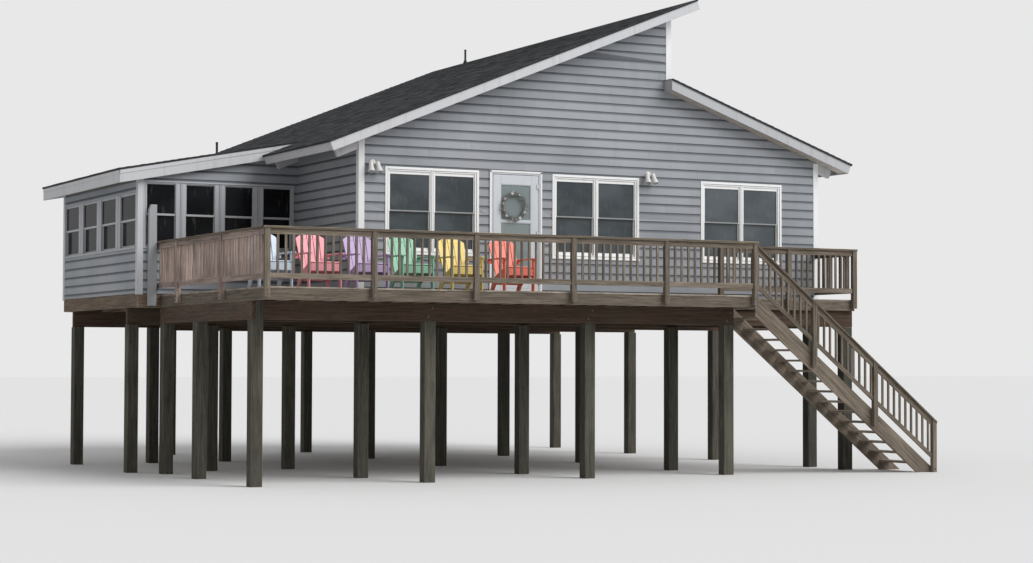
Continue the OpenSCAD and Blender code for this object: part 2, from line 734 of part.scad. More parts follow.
module door_glass() color("#8b9698") place() {
    y = leaf_f + (leaf_t - pane_t) / 2;
    block([leaf_l + stile, y, leaf_bot + kick_h], [leaf_r - stile, y + pane_t, mid_rail_z]);
    block([leaf_l + stile, y, mid_rail_z + mid_rail_h],
        [leaf_r - stile, y + pane_t, leaf_top - top_rail]);
}

wreath_r = 222;
wreath_tube = 36;
wreath_left = 55; // how far it hangs left of the leaf's middle
wreath_x = (leaf_l + leaf_r) / 2 - wreath_left;
wreath_z = 1615;
hook_r = 12;
module door_wreath() color("#6d675f") place() union() {
    translate([wreath_x, leaf_f - wreath_tube, wreath_z]) rotate([90, 0, 0])
        rotate_extrude($fn = 48) translate([wreath_r, 0]) circle(r = wreath_tube);
    // the hook that holds it to the pane
    translate([wreath_x, leaf_f + (leaf_t - pane_t) / 2, wreath_z + wreath_r])
        rotate([90, 0, 0]) cylinder(h = wreath_tube, r = hook_r);
}

handle_z = 880;
handle_x = leaf_l + 55;
plate_w = 36;
plate_h = 140;
plate_t = 6;
lever_l = 100;
lever_h = 18;
lever_out = [42, 58];
module door_handle() color("#2d2d2f") place() union() {
    block([handle_x - plate_w / 2, leaf_f - plate_t, handle_z - plate_h / 2],
        [handle_x + plate_w / 2, leaf_f, handle_z + plate_h / 2]);
    translate([handle_x, leaf_f - plate_t / 2, handle_z]) rotate([90, 0, 0])
        cylinder(h = lever_out[0], r = lever_h / 2);
    block([handle_x - lever_h / 2, leaf_f - lever_out[1], handle_z - lever_h / 2],
        [handle_x + lever_l, leaf_f - lever_out[0], handle_z + lever_h / 2]);
}

/* Railings */
cap_bot = rail_h - cap_t;
sub_bot = cap_bot - rail_d;
post_bot = -165;
rail_out = (post_w - rail_t) / 2;

// One bay in its own frame: X along the bay from post to post, Y across, Z up from the deck
module rail_bay(l) {
    n = max(1, round(l / baluster_pitch) - 1);
    block([0, -rail_t / 2, sub_bot], [l, rail_t / 2, cap_bot]);
    block([0, -rail_t / 2, rail_gap], [l, rail_t / 2, rail_gap + rail_d]);
    for (i = [1 : n])
        translate([i * l / (n + 1) - baluster_w / 2, -baluster_w / 2, rail_gap])
            cube([baluster_w, baluster_w, sub_bot - rail_gap + 1]);
}
module rail_post(x, y) block([x, y, post_bot], [x + post_w, y + post_w, cap_bot]);

front_bays = round(deck_w / bay);
first_post = -74;
last_post = deck_w + 10 - post_w;
front_step = (last_post - first_post) / front_bays;
rail_y = -post_w / 2;
module front_rail() color("#85796c") place() union() {
    for (i = [0 : front_bays]) rail_post(first_post + i * front_step, -post_w);
    for (i = [0 : front_bays - 1])
        translate([first_post + i * front_step + post_w, rail_y, 0]) rail_bay(front_step - post_w);
    block([-post_w - cap_out, -post_w - cap_out, cap_bot],
        [last_post + post_w, -post_w - cap_out + cap_w, rail_h]);
}

left_end = wing_f - frame_out;
// Places of the side rail's two posts along it, in proportion to its length
side_parts = [1935, 4140] / 5252;
side_posts = left_end * side_parts;
module left_rail() color("#85796c") place() union() {
    ends = [0, side_posts[0], side_posts[0] + post_w, side_posts[1], side_posts[1] + post_w,
        left_end];
    for (y = side_posts) rail_post(-post_w, y);
    for (i = [0, 2, 4])
        translate([rail_y, ends[i], 0]) rotate([0, 0, 90]) rail_bay(ends[i + 1] - ends[i]);
    block([-post_w - cap_out, -post_w - cap_out + cap_w, cap_bot],
        [-post_w - cap_out + cap_w, left_end, rail_h]);
}

walk_bays = max(1, round((walk_r - deck_w) / bay));
walk_step = (walk_r - post_w - deck_w) / walk_bays;
end_y = main_f - board_t;
module walkway_rail() color("#85796c") place() {
    union() {
        for (i = [0 : walk_bays]) rail_post(deck_w + i * walk_step, walk_f - post_w);
        for (i = [0 : walk_bays - 1])
            translate([deck_w + i * walk_step + post_w, walk_f + rail_y, 0])
                rail_bay(walk_step - post_w);
        block([deck_w, walk_f - post_w - cap_out, cap_bot],
            [walk_r, walk_f - post_w - cap_out + cap_w, rail_h]);
    }
    // the short return along the walkway's end
    end_bay = walk_f + joint;
    end_cap = walk_f - post_w - cap_out + cap_w + joint;
    union() {
        translate([walk_r - post_w / 2, end_bay, 0]) rotate([0, 0, 90]) rail_bay(end_y - end_bay);
        block([walk_r - cap_w + cap_out, end_cap, cap_bot], [walk_r + cap_out, end_y, rail_h]);
    }
}

end_l = wing_l + 163;
end_w = 145;
end_t = 90;
end_top = 1600;
end_cut = [37, 100];
module end_post() color("#e2e2de") place()
    along_y([[end_l, -200], [end_l + end_w, -200], [end_l + end_w, end_top],
        [end_l + end_cut[0], end_top], [end_l, end_top - end_cut[1]]], left_end - end_t, left_end);

/* Stair */
rise = deck_h / risers;
stair_run = risers * going;
slope = rise / going;
module stringer(y) {
    z = stringer_h * sqrt(1 + slope * slope);
    along_y([[deck_w, 0], [deck_w + stair_run, ground], [deck_w + stair_run - z / slope, ground],
        [deck_w, -z]], y, y + joist_t);
}
module stair_stringers() color("#857a6c") place() {
    stringer(0);
    stringer(stair_w - post_w - joist_t);
}

tread_t = 38;
tread_nose = 20;
tread_d = going + tread_nose;
module stair_treads() color("#a09485") place()
    for (i = [1 : risers - 1])
        block([deck_w + (i - 1) * going, joist_t, -i * rise - tread_t],
            [deck_w + (i - 1) * going + tread_d, stair_w - post_w - joist_t, -i * rise]);

// The stair rail follows the slope from the deck's end post to a post on the ground
stair_post_n = 3;
stair_post_in = 150;
stair_post_x = [for (i = [1 : stair_post_n])
    deck_w + i * stair_run / stair_post_n - stair_post_in];
stair_post_foot = 300;
stair_sub_d = 109;
stair_low = 130;
lap = 6;
module sloped(x0, x1, z0, z1, y0, y1)
    along_y([[x0, z0 - slope * (x0 - deck_w)], [x1, z0 - slope * (x1 - deck_w)],
        [x1, z1 - slope * (x1 - deck_w)], [x0, z1 - slope * (x0 - deck_w)]], y0, y1);
module stair_rail() color("#85796c") place() {
    x0 = last_post + post_w;
    x1 = stair_post_x[stair_post_n - 1] + post_w;
    under = stair_rail_h - cap_t + lap;
    union() {
        sloped(x0, x1, stair_rail_h - cap_t, stair_rail_h, -post_w - cap_out,
            -post_w - cap_out + cap_w);
        sloped(x0, x1, under - lap - stair_sub_d, under, rail_y - rail_t / 2, rail_y + rail_t / 2);
        sloped(x0, x1, stair_low, stair_low + rail_d, rail_y - rail_t / 2, rail_y + rail_t / 2);
        for (x = stair_post_x) {
            foot = max(ground, -slope * (x - deck_w) - stair_post_foot);
            along_y([[x, foot], [x + post_w, foot],
                [x + post_w, under - slope * (x + post_w - deck_w)],
                [x, under - slope * (x - deck_w)]], -post_w, 0);
        }
        for (x = [x0 + baluster_pitch - lap : baluster_pitch : x1 - baluster_pitch])
            sloped(x, x + baluster_w, stair_low + lap, under - 2 * lap,
                rail_y - baluster_w / 2, rail_y + baluster_w / 2);
    }
}

/* Roof and wall fittings */
vent_r = 23;
boot_w = 220;
boot_h = 25;
// A pipe on a sloped roof, in a boot that lies on the slope; pitch is the roof's rise per unit run
module vent(x, y, roof_z, pitch, h) {
    rise_in = pitch * boot_w / 2;
    z = roof_z + seat;
    union() {
        along_y([[x - boot_w / 2, z - rise_in], [x + boot_w / 2, z + rise_in],
            [x + boot_w / 2, z + rise_in + boot_h], [x - boot_w / 2, z - rise_in + boot_h]],
            y - boot_w / 2, y + boot_w / 2);
        translate([x, y, z + pitch * vent_r]) cylinder(h = h - pitch * vent_r, r = vent_r);
    }
}
wing_vent = [main_l - 412, wing_b - 1457];
ridge_vent = [ridge_x - 210, main_b - 1640];
module vent_pipes() color("#222325") place() {
    vent(wing_vent[0], wing_vent[1], wing_top(wing_vent[0]), wing_pitch, 335);
    vent(ridge_vent[0], ridge_vent[1], main_top(ridge_vent[0]), main_pitch, 315);
}

lamp_plate_r = 62;
lamp_bar = 24;
lamp_bar_w = 150;
lamp_tilt = 157;
module flood_light(x, z) translate([x, main_f, z]) union() {
    rotate([90, 0, 0]) cylinder(h = 36, r = lamp_plate_r);
    translate([0, -30, 0]) rotate([90, 0, 0]) cylinder(h = 70, r = 20);
    translate([-lamp_bar_w / 2, -98, -lamp_bar / 2]) cube([lamp_bar_w, lamp_bar, lamp_bar]);
    for (side = [-1, 1])
        translate([side * lamp_plate_r, -92, -8]) rotate([lamp_tilt, 0, side * 14]) rotate_extrude()
            polygon([[0, -26], [32, -26], [40, -6], [40, 60], [57, 150], [57, 172], [0, 172]]);
}
lamp_gap = 5;
lamp_left = max(long_gaps[0] / 2, board_w + lamp_gap + lamp_plate_r);
lamp_x = [main_l + lamp_left, clere_x - 478];
lamp_z = [win_top + 45, win_top + 71];
module flood_lights() color("#f2f2f0") place()
    for (i = [0, 1]) flood_light(lamp_x[i], lamp_z[i]);

/* Deck chairs */
// A low slatted chair that faces -Y, its front left leg's foot at the origin
chair_w = 580;
chair_d = 640;
leg_d = 85;
leg_t = 24;
arm_z = 580;
arm_t = 22;
arm_w = 100;
arm_out = 45;
apron_z = [300, 425];
back_foot = [448, 205];
back_lean = atan(290 / 730);
back_slats = 5;
slat_low = (chair_w - 140) / back_slats;
slat_high = (chair_w - 40) / back_slats;
slat_gap = 5;
seat_slats = 6;
seat_step = [84, -35.6];
module chair_side(side) {
    x = side < 0 ? 0 : chair_w - leg_t;
    inner = x - side * leg_t;
    arm_x = side < 0 ? -arm_out : chair_w + arm_out - arm_w;
    block([x, 0, 0], [x + leg_t, leg_d, arm_z]);
    along_x([[12, apron_z[0]], [12, 415], [60, apron_z[1]], [520, 230], [chair_d, 0], [520, 0],
        [420, 140]], inner, inner + leg_t);
    block([arm_x, -arm_out, arm_z], [arm_x + arm_w, chair_d, arm_z + arm_t]);
}
module chair_back()
    translate([chair_w / 2, back_foot[0], back_foot[1]]) rotate([90 - back_lean, 0, 0])
        linear_extrude(18) intersection() {
            for (i = [-2 : 2])
                polygon([[i * slat_low - slat_low / 2 + slat_gap / 2, 0],
                    [i * slat_low + slat_low / 2 - slat_gap / 2, 0],
                    [i * slat_high + slat_high / 2 - slat_gap, 800],
                    [i * slat_high - slat_high / 2 + slat_gap, 800]]);
            union() {
                translate([-300, 0]) square([600, 420]);
                translate([0, 420]) circle(r = 380, $fn = 64);
            }
        }
module seat_slat(i)
    translate([0, i * seat_step[0], i * seat_step[1]])
        along_x([[20, 441], [94, 410], [101, 428], [27, 459]], leg_t, chair_w - leg_t);
module deck_chair(x, shade) color(shade) place() translate([x, chair_y, 0]) union() {
    chair_side(-1);
    chair_side(1);
    chair_back();
    for (i = [0 : seat_slats - 1]) seat_slat(i);
    // apron, back seat rail, arm rail and top rail
    block([2 * leg_t, 12, apron_z[0]], [chair_w - 2 * leg_t, 34, apron_z[1]]);
    block([2 * leg_t, 430, 150], [chair_w - 2 * leg_t, 455, 262]);
    block([-20, 585, arm_z - 60], [chair_w + 20, 615, arm_z]);
    block([80, 680, 800], [chair_w - 80, 700, 860]);
}
// Where each chair's front left leg stands
chair_y = 950;
chair_x = [225, 1083, 1930, 2757, 3681, 4673];
module chair_white() deck_chair(chair_x[0], "#dfe7ee");
module chair_pink() deck_chair(chair_x[1], "#e8949b");
module chair_violet() deck_chair(chair_x[2], "#a99acb");
module chair_green() deck_chair(chair_x[3], "#8fd0ae");
module chair_yellow() deck_chair(chair_x[4], "#ecd95f");
module chair_coral() deck_chair(chair_x[5], "#e8705a");

deck_piles();
house_piles();
deck_beams();
house_girders();
deck_joists();
deck_rim();
deck_floor();
house_joists();
house_floor();
front_wall_left();
front_wall_over_door();
front_wall_right();
front_wall_end();
left_wall();
back_wall();
right_wall();
clerestory_wall();
wing_front_wall();
wing_left_wall();
wing_back_wall();
main_roof();
right_roof();
wing_roof();
rafter_tails();
main_fascia();
right_fascia();
wing_fascia();
corner_boards();
front_windows();
front_glass();
wing_windows();
wing_glass();
rear_windows();
rear_glass();
door_frame();
door_leaf();
door_glass();
door_wreath();
door_handle();
front_rail();
left_rail();
walkway_rail();
stair_rail();
end_post();
stair_stringers();
stair_treads();
vent_pipes();
flood_lights();
chair_white();
chair_pink();
chair_violet();
chair_green();
chair_yellow();
chair_coral();
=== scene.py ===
import bpy
import json
import math
import random
import numpy as np
from mathutils import Matrix, Vector

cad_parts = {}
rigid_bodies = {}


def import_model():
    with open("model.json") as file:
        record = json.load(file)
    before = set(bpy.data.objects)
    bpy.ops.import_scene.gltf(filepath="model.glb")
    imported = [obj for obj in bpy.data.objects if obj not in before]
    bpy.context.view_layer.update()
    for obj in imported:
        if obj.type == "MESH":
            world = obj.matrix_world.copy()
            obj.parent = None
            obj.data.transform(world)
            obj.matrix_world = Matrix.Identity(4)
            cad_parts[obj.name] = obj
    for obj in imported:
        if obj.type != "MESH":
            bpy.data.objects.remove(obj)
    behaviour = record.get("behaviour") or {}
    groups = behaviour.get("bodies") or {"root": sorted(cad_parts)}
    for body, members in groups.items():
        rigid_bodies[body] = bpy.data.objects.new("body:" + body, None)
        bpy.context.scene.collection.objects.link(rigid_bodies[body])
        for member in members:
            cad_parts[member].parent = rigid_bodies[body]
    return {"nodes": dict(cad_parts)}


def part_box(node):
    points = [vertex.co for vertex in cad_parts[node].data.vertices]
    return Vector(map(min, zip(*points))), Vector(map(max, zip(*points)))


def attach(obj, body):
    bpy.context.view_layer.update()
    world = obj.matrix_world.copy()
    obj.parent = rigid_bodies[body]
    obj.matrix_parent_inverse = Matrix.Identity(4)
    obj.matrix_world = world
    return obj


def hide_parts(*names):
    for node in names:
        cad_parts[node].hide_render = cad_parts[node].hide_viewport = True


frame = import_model()
for spare in [o for o in bpy.data.objects if o.name in ("Cube", "Light", "Camera")]:
    bpy.data.objects.remove(spare)
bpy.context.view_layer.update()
rimCorner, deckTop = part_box("deck_rim")[0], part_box("deck_floor")[1].z
origin = Vector((rimCorner.x, rimCorner.y, deckTop))  # the deck's front left corner, on its surface


def low(node):
    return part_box(node)[0] - origin


def high(node):
    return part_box(node)[1] - origin


# Plan lines and levels, in metres from the deck's front left corner and its surface
mainL, mainF = low("front_wall_left").x, low("front_wall_left").y
clereX, mainR = low("front_wall_end").x, high("front_wall_end").x
mainB = high("back_wall").y
wingL, wingF, wingB = low("wing_left_wall").x, low("wing_front_wall").y, high("wing_back_wall").y
eaveX, ridgeX = low("main_roof").x, high("main_roof").x
wrapX, rightX, wingX = low("right_roof").x, high("right_roof").x, low("wing_roof").x
rakeF, rakeB = low("main_roof").y, high("main_roof").y
rightRakeF, rightRakeB = low("right_roof").y, high("right_roof").y
wingRakeF, wingRakeB = low("wing_roof").y, high("wing_roof").y
ground, floorZ = low("house_piles").z, high("house_floor").z
deckR, walkR, walkF = low("stair_treads").x, mainR - 0.01, 1.22
roofT, fasciaT, boardT, wallT = 0.05, 0.025, 0.022, 0.15


def slopeOf(node, run):
    return (high(node).z - low(node).z - roofT) / run


mainPitch = slopeOf("main_roof", ridgeX - eaveX)
rightPitch = slopeOf("right_roof", rightX - wrapX)
wingPitch = slopeOf("wing_roof", mainL - wingX)


def mainTop(x):
    return high("main_roof").z - mainPitch * (ridgeX - x)


def rightTop(x):
    return high("right_roof").z - rightPitch * (x - wrapX)


def wingTop(x):
    return high("wing_roof").z - wingPitch * (mainL - x)


def slab(x0, x1, topOf, under, over):  # the outline of a layer that follows a roof slope
    return [(x0, topOf(x0) + under), (x1, topOf(x1) + under), (x1, topOf(x1) + over), (x0, topOf(x0) + over)]


def colour(red, green, blue):
    shares = [v / 255 for v in (red, green, blue)]
    return (*[v / 12.92 if v <= 0.04045 else ((v + 0.055) / 1.055) ** 2.4 for v in shares], 1)


def pick(sockets, key):
    if isinstance(key, int):
        return sockets[key]
    for socket in sockets:
        if socket.identifier == key:
            return socket
    return sockets[key]


class Sock:  # a node's output, with the operators that add Math nodes
    def __init__(self, tree, socket):
        self.tree, self.socket = tree, socket

    def __getitem__(self, key):  # another output of the same node
        return Sock(self.tree, pick(self.socket.node.outputs, key))

    def maths(self, operation, *others):
        return self.tree.node("ShaderNodeMath", {"operation": operation}, dict(enumerate((self, *others))))

    def __add__(self, other):
        return self.maths("ADD", other)

    def __sub__(self, other):
        return self.maths("SUBTRACT", other)

    def __rsub__(self, other):
        return self.tree.node("ShaderNodeMath", {"operation": "SUBTRACT"}, {0: other, 1: self})

    def __mul__(self, other):
        return self.maths("MULTIPLY", other)

    def __truediv__(self, other):
        return self.maths("DIVIDE", other)

    def __mod__(self, other):
        return self.maths("FLOORED_MODULO", other)

    def __gt__(self, other):
        return self.maths("GREATER_THAN", other)

    __radd__, __rmul__ = __add__, __mul__


class Tree:  # a node tree, with short ways to add its nodes
    def __init__(self, tree):
        self.tree = tree

    def node(self, kind, settings={}, inputs={}):
        made = self.tree.nodes.new(kind)
        for name, value in settings.items():
            setattr(made, name, value)
        for key, value in inputs.items():
            socket = pick(made.inputs, key)
            if isinstance(value, Sock):
                self.tree.links.new(value.socket, socket)
            else:
                socket.default_value = value
        return Sock(self, made.outputs[0]) if made.outputs else None

    def vector(self, x, y, z=0.0):
        return self.node("ShaderNodeCombineXYZ", {}, {"X": x, "Y": y, "Z": z})

    def split(self, vector):
        parts = self.node("ShaderNodeSeparateXYZ", {}, {"Vector": vector})
        return parts["X"], parts["Y"], parts["Z"]

    def noise(self, place, scale=1.0, detail=3.0, rough=0.55):
        return self.node("ShaderNodeTexNoise", {},
                         {"Vector": place, "Scale": scale, "Detail": detail, "Roughness": rough})

    def step(self, value, start, end):
        return self.node("ShaderNodeMapRange", {"interpolation_type": "SMOOTHSTEP"},
                         {"Value": value, "From Min": start, "From Max": end})

    def mix(self, factor, first, second, blend="MIX"):
        return self.node("ShaderNodeMix", {"data_type": "RGBA", "blend_type": blend},
                         {"Factor_Float": factor, "A_Color": first, "B_Color": second})["Result_Color"]

    def dim(self, base, share):  # a colour times a number that changes over the surface
        return self.mix(1.0, base, self.vector(share, share, share), "MULTIPLY")

    def place(self):
        return self.node("ShaderNodeTexCoord")["Object"]

    def grain(self):
        return self.split(self.node("ShaderNodeUVMap", {"uv_map": "grain"}))

    def attribute(self, name):
        return self.node("ShaderNodeAttribute", {"attribute_name": name})["Fac"]

    def random(self, least, most, key, seed):
        return self.node("FunctionNodeRandomValue", {"data_type": "FLOAT"},
                         {"Min_001": least, "Max_001": most, "ID": key, "Seed": seed})["Value_001"]

    def surface(self, base, rough, height, bump, fixed={}):
        strength, distance = bump
        normal = self.node("ShaderNodeBump", {},
                           {"Strength": strength, "Distance": distance, "Height": height})
        shader = self.node("ShaderNodeBsdfPrincipled", {},
                           {"Base Color": base, "Roughness": rough, "Normal": normal, **fixed})
        self.node("ShaderNodeOutputMaterial", {}, {"Surface": shader})

    def layPieces(self, given, points, inputs, seed):  # the piece on each point, with a tone of its own
        piece = self.node("GeometryNodeObjectInfo", {}, {"Object": given["Piece"]})["Geometry"]
        laid = self.node("GeometryNodeInstanceOnPoints", {}, {"Points": points, "Instance": piece, **inputs})
        tone = self.random(0.0, 1.0, self.node("GeometryNodeInputIndex"), given["Seed"] + seed)
        toned = self.node("GeometryNodeStoreNamedAttribute", {"data_type": "FLOAT", "domain": "INSTANCE"},
                          {"Geometry": laid, "Name": "tone", "Value": tone})
        return self.node("GeometryNodeRealizeInstances", {}, {"Geometry": toned})

    def close(self, given, geometry):
        done = self.node("GeometryNodeSetMaterial", {}, {"Geometry": geometry, "Material": given["Material"]})
        self.node("NodeGroupOutput", {}, {"Geometry": done})


def newMaterial(name):
    made = bpy.data.materials.new(name)
    made.use_nodes = True
    made.node_tree.nodes.clear()
    return made, Tree(made.node_tree)


# Noise scales are patterns a metre, bumps are a strength and a depth in metres
wood = {
    "sway": 0.09,  # how far the grain wanders across a board
    "fibre": (1.4, 34),  # along and across the grain
    "fine": (7, 210),
    "crack": (2.2, 75),
    "knots": (1.7, 8),
    "blotch": 1.3,
    "bump": (0.55, 0.003),
    "crackShade": 0.65,
    "wearShade": 0.55,
}


def woodMaterial(name, light, dark, stain=(0.35, colour(74, 72, 60)), wear=colour(176, 168, 156), rough=0.82):
    made, t = newMaterial(name)
    along, across, _ = t.grain()
    tone, edge, place = t.attribute("tone"), t.attribute("edge"), t.place()
    shift = tone * 61  # each board shows another part of the pattern
    swayed = across + t.noise(t.vector(along * 0.9, across * 5, shift), 1, 2) * wood["sway"]

    def stretched(key, start):
        return t.vector(along * wood[key][0], swayed * wood[key][1], shift + start)

    fibre = t.noise(stretched("fibre", 0), 1, 4, 0.6)
    fine = t.noise(stretched("fine", 3), 1, 2)
    crack = t.step(t.noise(stretched("crack", 9), 1, 2), 0.62, 0.72)
    knotPlace = t.vector(along * wood["knots"][0], across * wood["knots"][1], shift)
    cell = t.node("ShaderNodeTexVoronoi", {}, {"Vector": knotPlace, "Scale": 1.0})
    knot = 1 - t.step(cell["Distance"], 0.05, 0.13)
    base = t.mix(t.step(fibre * 0.65 + fine * 0.35, 0.32, 0.68), dark, light)
    base = t.mix(knot * 0.7, base, dark)
    base = t.dim(base, 0.76 + tone * 0.42)
    blotch = t.step(t.noise(place, wood["blotch"], 5, 0.6), 0.42, 0.72)
    base = t.mix(blotch * stain[0], base, stain[1])
    base = t.mix(crack * wood["crackShade"], base, colour(38, 33, 28))
    base = t.mix(edge * t.step(fibre, 0.35, 0.6) * wood["wearShade"], base, wear)
    height = fibre * 0.5 + fine * 0.3 - crack * 0.8 - knot * 0.2
    t.surface(base, rough - fine * 0.12, height, wood["bump"], {"Specular IOR Level": 0.25})
    return made


paint = {"dirt": colour(120, 116, 104), "brush": (3, 160), "runs": (9, 0.7), "cloud": 0.9, "depth": 0.0012}


def paintMaterial(name, base, dirt=paint["dirt"], dirtShare=0.16, rough=0.5, grainBump=0.25, wear=0.25,
                  coat=0.0):
    made, t = newMaterial(name)
    along, across, _ = t.grain()
    tone, edge, place = t.attribute("tone"), t.attribute("edge"), t.place()
    x, y, z = t.split(place)
    brush = t.noise(t.vector(along * paint["brush"][0], across * paint["brush"][1], tone * 40), 1, 3)
    wide, tall = paint["runs"]
    runs = t.noise(t.vector(x * wide, y * wide, z * tall), 1, 4, 0.6)
    cloud = t.noise(place, paint["cloud"], 4)
    shade = t.dim(base, 0.955 + tone * 0.05 + cloud * 0.05)
    shade = t.mix(t.step(runs, 0.5, 0.78) * dirtShare, shade, dirt)
    shade = t.mix(edge * t.step(brush + cloud, 0.95, 1.25) * wear, shade, dirt)
    t.surface(shade, rough + runs * 0.18 - cloud * 0.06, brush, (grainBump, paint["depth"]),
              {"Specular IOR Level": 0.35, "Coat Weight": coat, "Coat Roughness": 0.25})
    return made


siding = {
    "pitch": 0.1646,
    "lineZ": 2.580,  # a course line that shows over the front windows
    "below": 17,  # courses under that line
    "lay": {"length": 3.66, "scatter": 1.0, "gap": 0.002, "swell": 0.06},
    "light": colour(158, 161, 166),
    "deep": colour(143, 148, 154),
    "dirt": colour(128, 131, 132),
    "shadow": colour(74, 78, 84),
    # painted highlight along the lower lip of each course
    "lip": colour(178, 183, 187),
    "shadeFrom": (0.60, 0.88),  # shares of a course, under the board above
    "shade": 0.85,
    "emboss": (3.2, 120),
    "runs": (5, 0.5),
    "cloud": 0.55,
    "bump": (0.3, 0.0015),
}


def sidingMaterial(name, settings):
    made, t = newMaterial(name)
    along, up, _ = t.grain()
    tone, place = t.attribute("tone"), t.place()
    x, y, z = t.split(place)
    course = ((up + settings["pitch"] * 8) / settings["pitch"]) % 1
    long, fine = settings["emboss"]
    emboss = t.noise(t.vector(along * long, up * fine, tone * 50), 1, 4, 0.62)
    wide, tall = settings["runs"]
    runs = t.noise(t.vector(x * wide, y * wide, z * tall), 1, 4, 0.6)
    cloud = t.noise(place, settings["cloud"], 5, 0.6)
    base = t.mix(t.step(cloud, 0.35, 0.7), settings["light"], settings["deep"])
    base = t.dim(base, 0.93 + tone * 0.1)
    base = t.mix(t.step(runs, 0.5, 0.8) * 0.22, base, settings["dirt"])
    base = t.mix(t.step(course, *settings["shadeFrom"]) * settings["shade"], base, settings["shadow"])
    # Painted highlight: the lowest part of each course turns towards the lighter lip colour
    base = t.mix((1 - t.step(course, 0.0, 0.06)) * 0.35, base, settings["lip"])
    t.surface(base, 0.58 + runs * 0.14, emboss, settings["bump"], {"Specular IOR Level": 0.3})
    return made


roofing = {"granule": 260, "patch": (2.5, 9), "streak": (1.6, 0.25), "bump": (0.6, 0.003)}


def shingleMaterial(name, light, dark):
    made, t = newMaterial(name)
    along, up, _ = t.grain()
    tone, place = t.attribute("tone"), t.place()
    granule = t.noise(place, roofing["granule"], 2)
    patch = t.noise(t.vector(along * roofing["patch"][0], up * roofing["patch"][1], tone * 30), 1, 4, 0.6)
    streak = t.noise(t.vector(along * roofing["streak"][0], up * roofing["streak"][1], 2.0), 1, 5, 0.65)
    base = t.mix(t.step(patch * 0.5 + tone * 0.5, 0.25, 0.75), dark, light)
    base = t.mix(t.step(granule, 0.52, 0.7) * 0.35, base, colour(122, 124, 126))
    base = t.mix(t.step(streak, 0.5, 0.75) * 0.4, base, colour(44, 46, 46))
    t.surface(base, 0.9 - granule * 0.08, granule + patch * 0.3, roofing["bump"], {"Specular IOR Level": 0.2})
    return made


pane = {"rough": 0.09, "film": colour(170, 172, 168), "filmShare": 0.12, "ripple": 1.7, "bump": (0.03, 0.004)}


def glassMaterial(name, base, reflected, mirror=0.55, coat=0.5):
    made, t = newMaterial(name)
    place = t.place()
    x, y, z = t.split(place)
    tone = t.attribute("tone")
    ripple = t.noise(place, pane["ripple"], 2)
    film = t.noise(t.vector(x * 14, y * 14, z * 3), 1, 4, 0.6)
    cloud = t.noise(t.vector(x * 0.9, y * 0.9, z * 1.6 + tone * 20), 1, 3)
    shade = t.mix(t.step(cloud, 0.38, 0.68) * 0.45 + tone * 0.6, base, reflected)
    shade = t.mix(t.step(film, 0.55, 0.8) * pane["filmShare"], shade, pane["film"])
    t.surface(shade, pane["rough"] + film * 0.07, ripple, pane["bump"],
              {"Specular IOR Level": mirror, "Coat Weight": coat, "Coat Roughness": 0.04})
    return made


def plasticMaterial(name, base, scuff=colour(150, 148, 142), metallic=0.0, rough=0.45, scuffShare=0.15):
    made, t = newMaterial(name)
    place = t.place()
    speck = t.noise(place, 90, 3)
    cloud = t.noise(place, 4, 4, 0.6)
    shade = t.mix(t.step(cloud, 0.45, 0.75) * scuffShare, base, scuff)
    shade = t.mix(t.step(speck, 0.6, 0.75) * 0.12, shade, scuff)
    t.surface(shade, rough + cloud * 0.2, speck, (0.12, 0.0008), {"Metallic": metallic})
    return made


def plasterMaterial(name, base, dirt):
    made, t = newMaterial(name)
    place = t.place()
    x, y, z = t.split(place)
    roller = t.noise(place, 55, 4, 0.6)
    cloud = t.noise(place, 0.8, 4)
    scuff = t.step(t.noise(t.vector(x * 2, y * 2, z * 5), 1, 5, 0.65), 0.56, 0.78)
    shade = t.mix(t.step(cloud, 0.3, 0.7) * 0.35, base, dirt)
    shade = t.mix(scuff * 0.15, shade, dirt)
    t.surface(shade, 0.78 - cloud * 0.1, roller, (0.2, 0.0015), {"Specular IOR Level": 0.3})
    return made


materials = {}


def finish(kind, name, *shades, **settings):
    materials[name] = kind(name, *[colour(*shade) for shade in shades], **settings)


materials["siding"] = sidingMaterial("siding", siding)
finish(paintMaterial, "trim", (228, 229, 230), dirtShare=0.2)
finish(paintMaterial, "fasciaPaint", (191, 192, 195), dirtShare=0.25)
finish(paintMaterial, "rightFasciaPaint", (175, 176, 179), dirtShare=0.3)
finish(paintMaterial, "warmSoffit", (190, 182, 172), dirtShare=0.3)
# a greyer copy of the white trim: painted shade for the shaded wing
finish(paintMaterial, "greyTrim", (188, 190, 194), dirtShare=0.3)
# a darker copy of the white paint: painted shade on the end post by the shaded wing
finish(paintMaterial, "postPaint", (154, 156, 159), dirtShare=0.35)
finish(paintMaterial, "frieze", (142, 148, 154), dirtShare=0.3)
# a board under the wing's left eave whose dark colour is partly painted shadow
finish(paintMaterial, "band", (104, 101, 96), dirtShare=0.4)
finish(paintMaterial, "soffit", (206, 208, 212), dirtShare=0.3)
finish(paintMaterial, "vinyl", (232, 233, 233), dirtShare=0.1, rough=0.38, grainBump=0.06, wear=0.1,
       coat=0.15)
# a greyer copy of the white vinyl: painted shade for the wing's windows
finish(paintMaterial, "wingVinyl", (172, 174, 179), dirtShare=0.2, rough=0.45, grainBump=0.1, wear=0.15,
       coat=0.1)
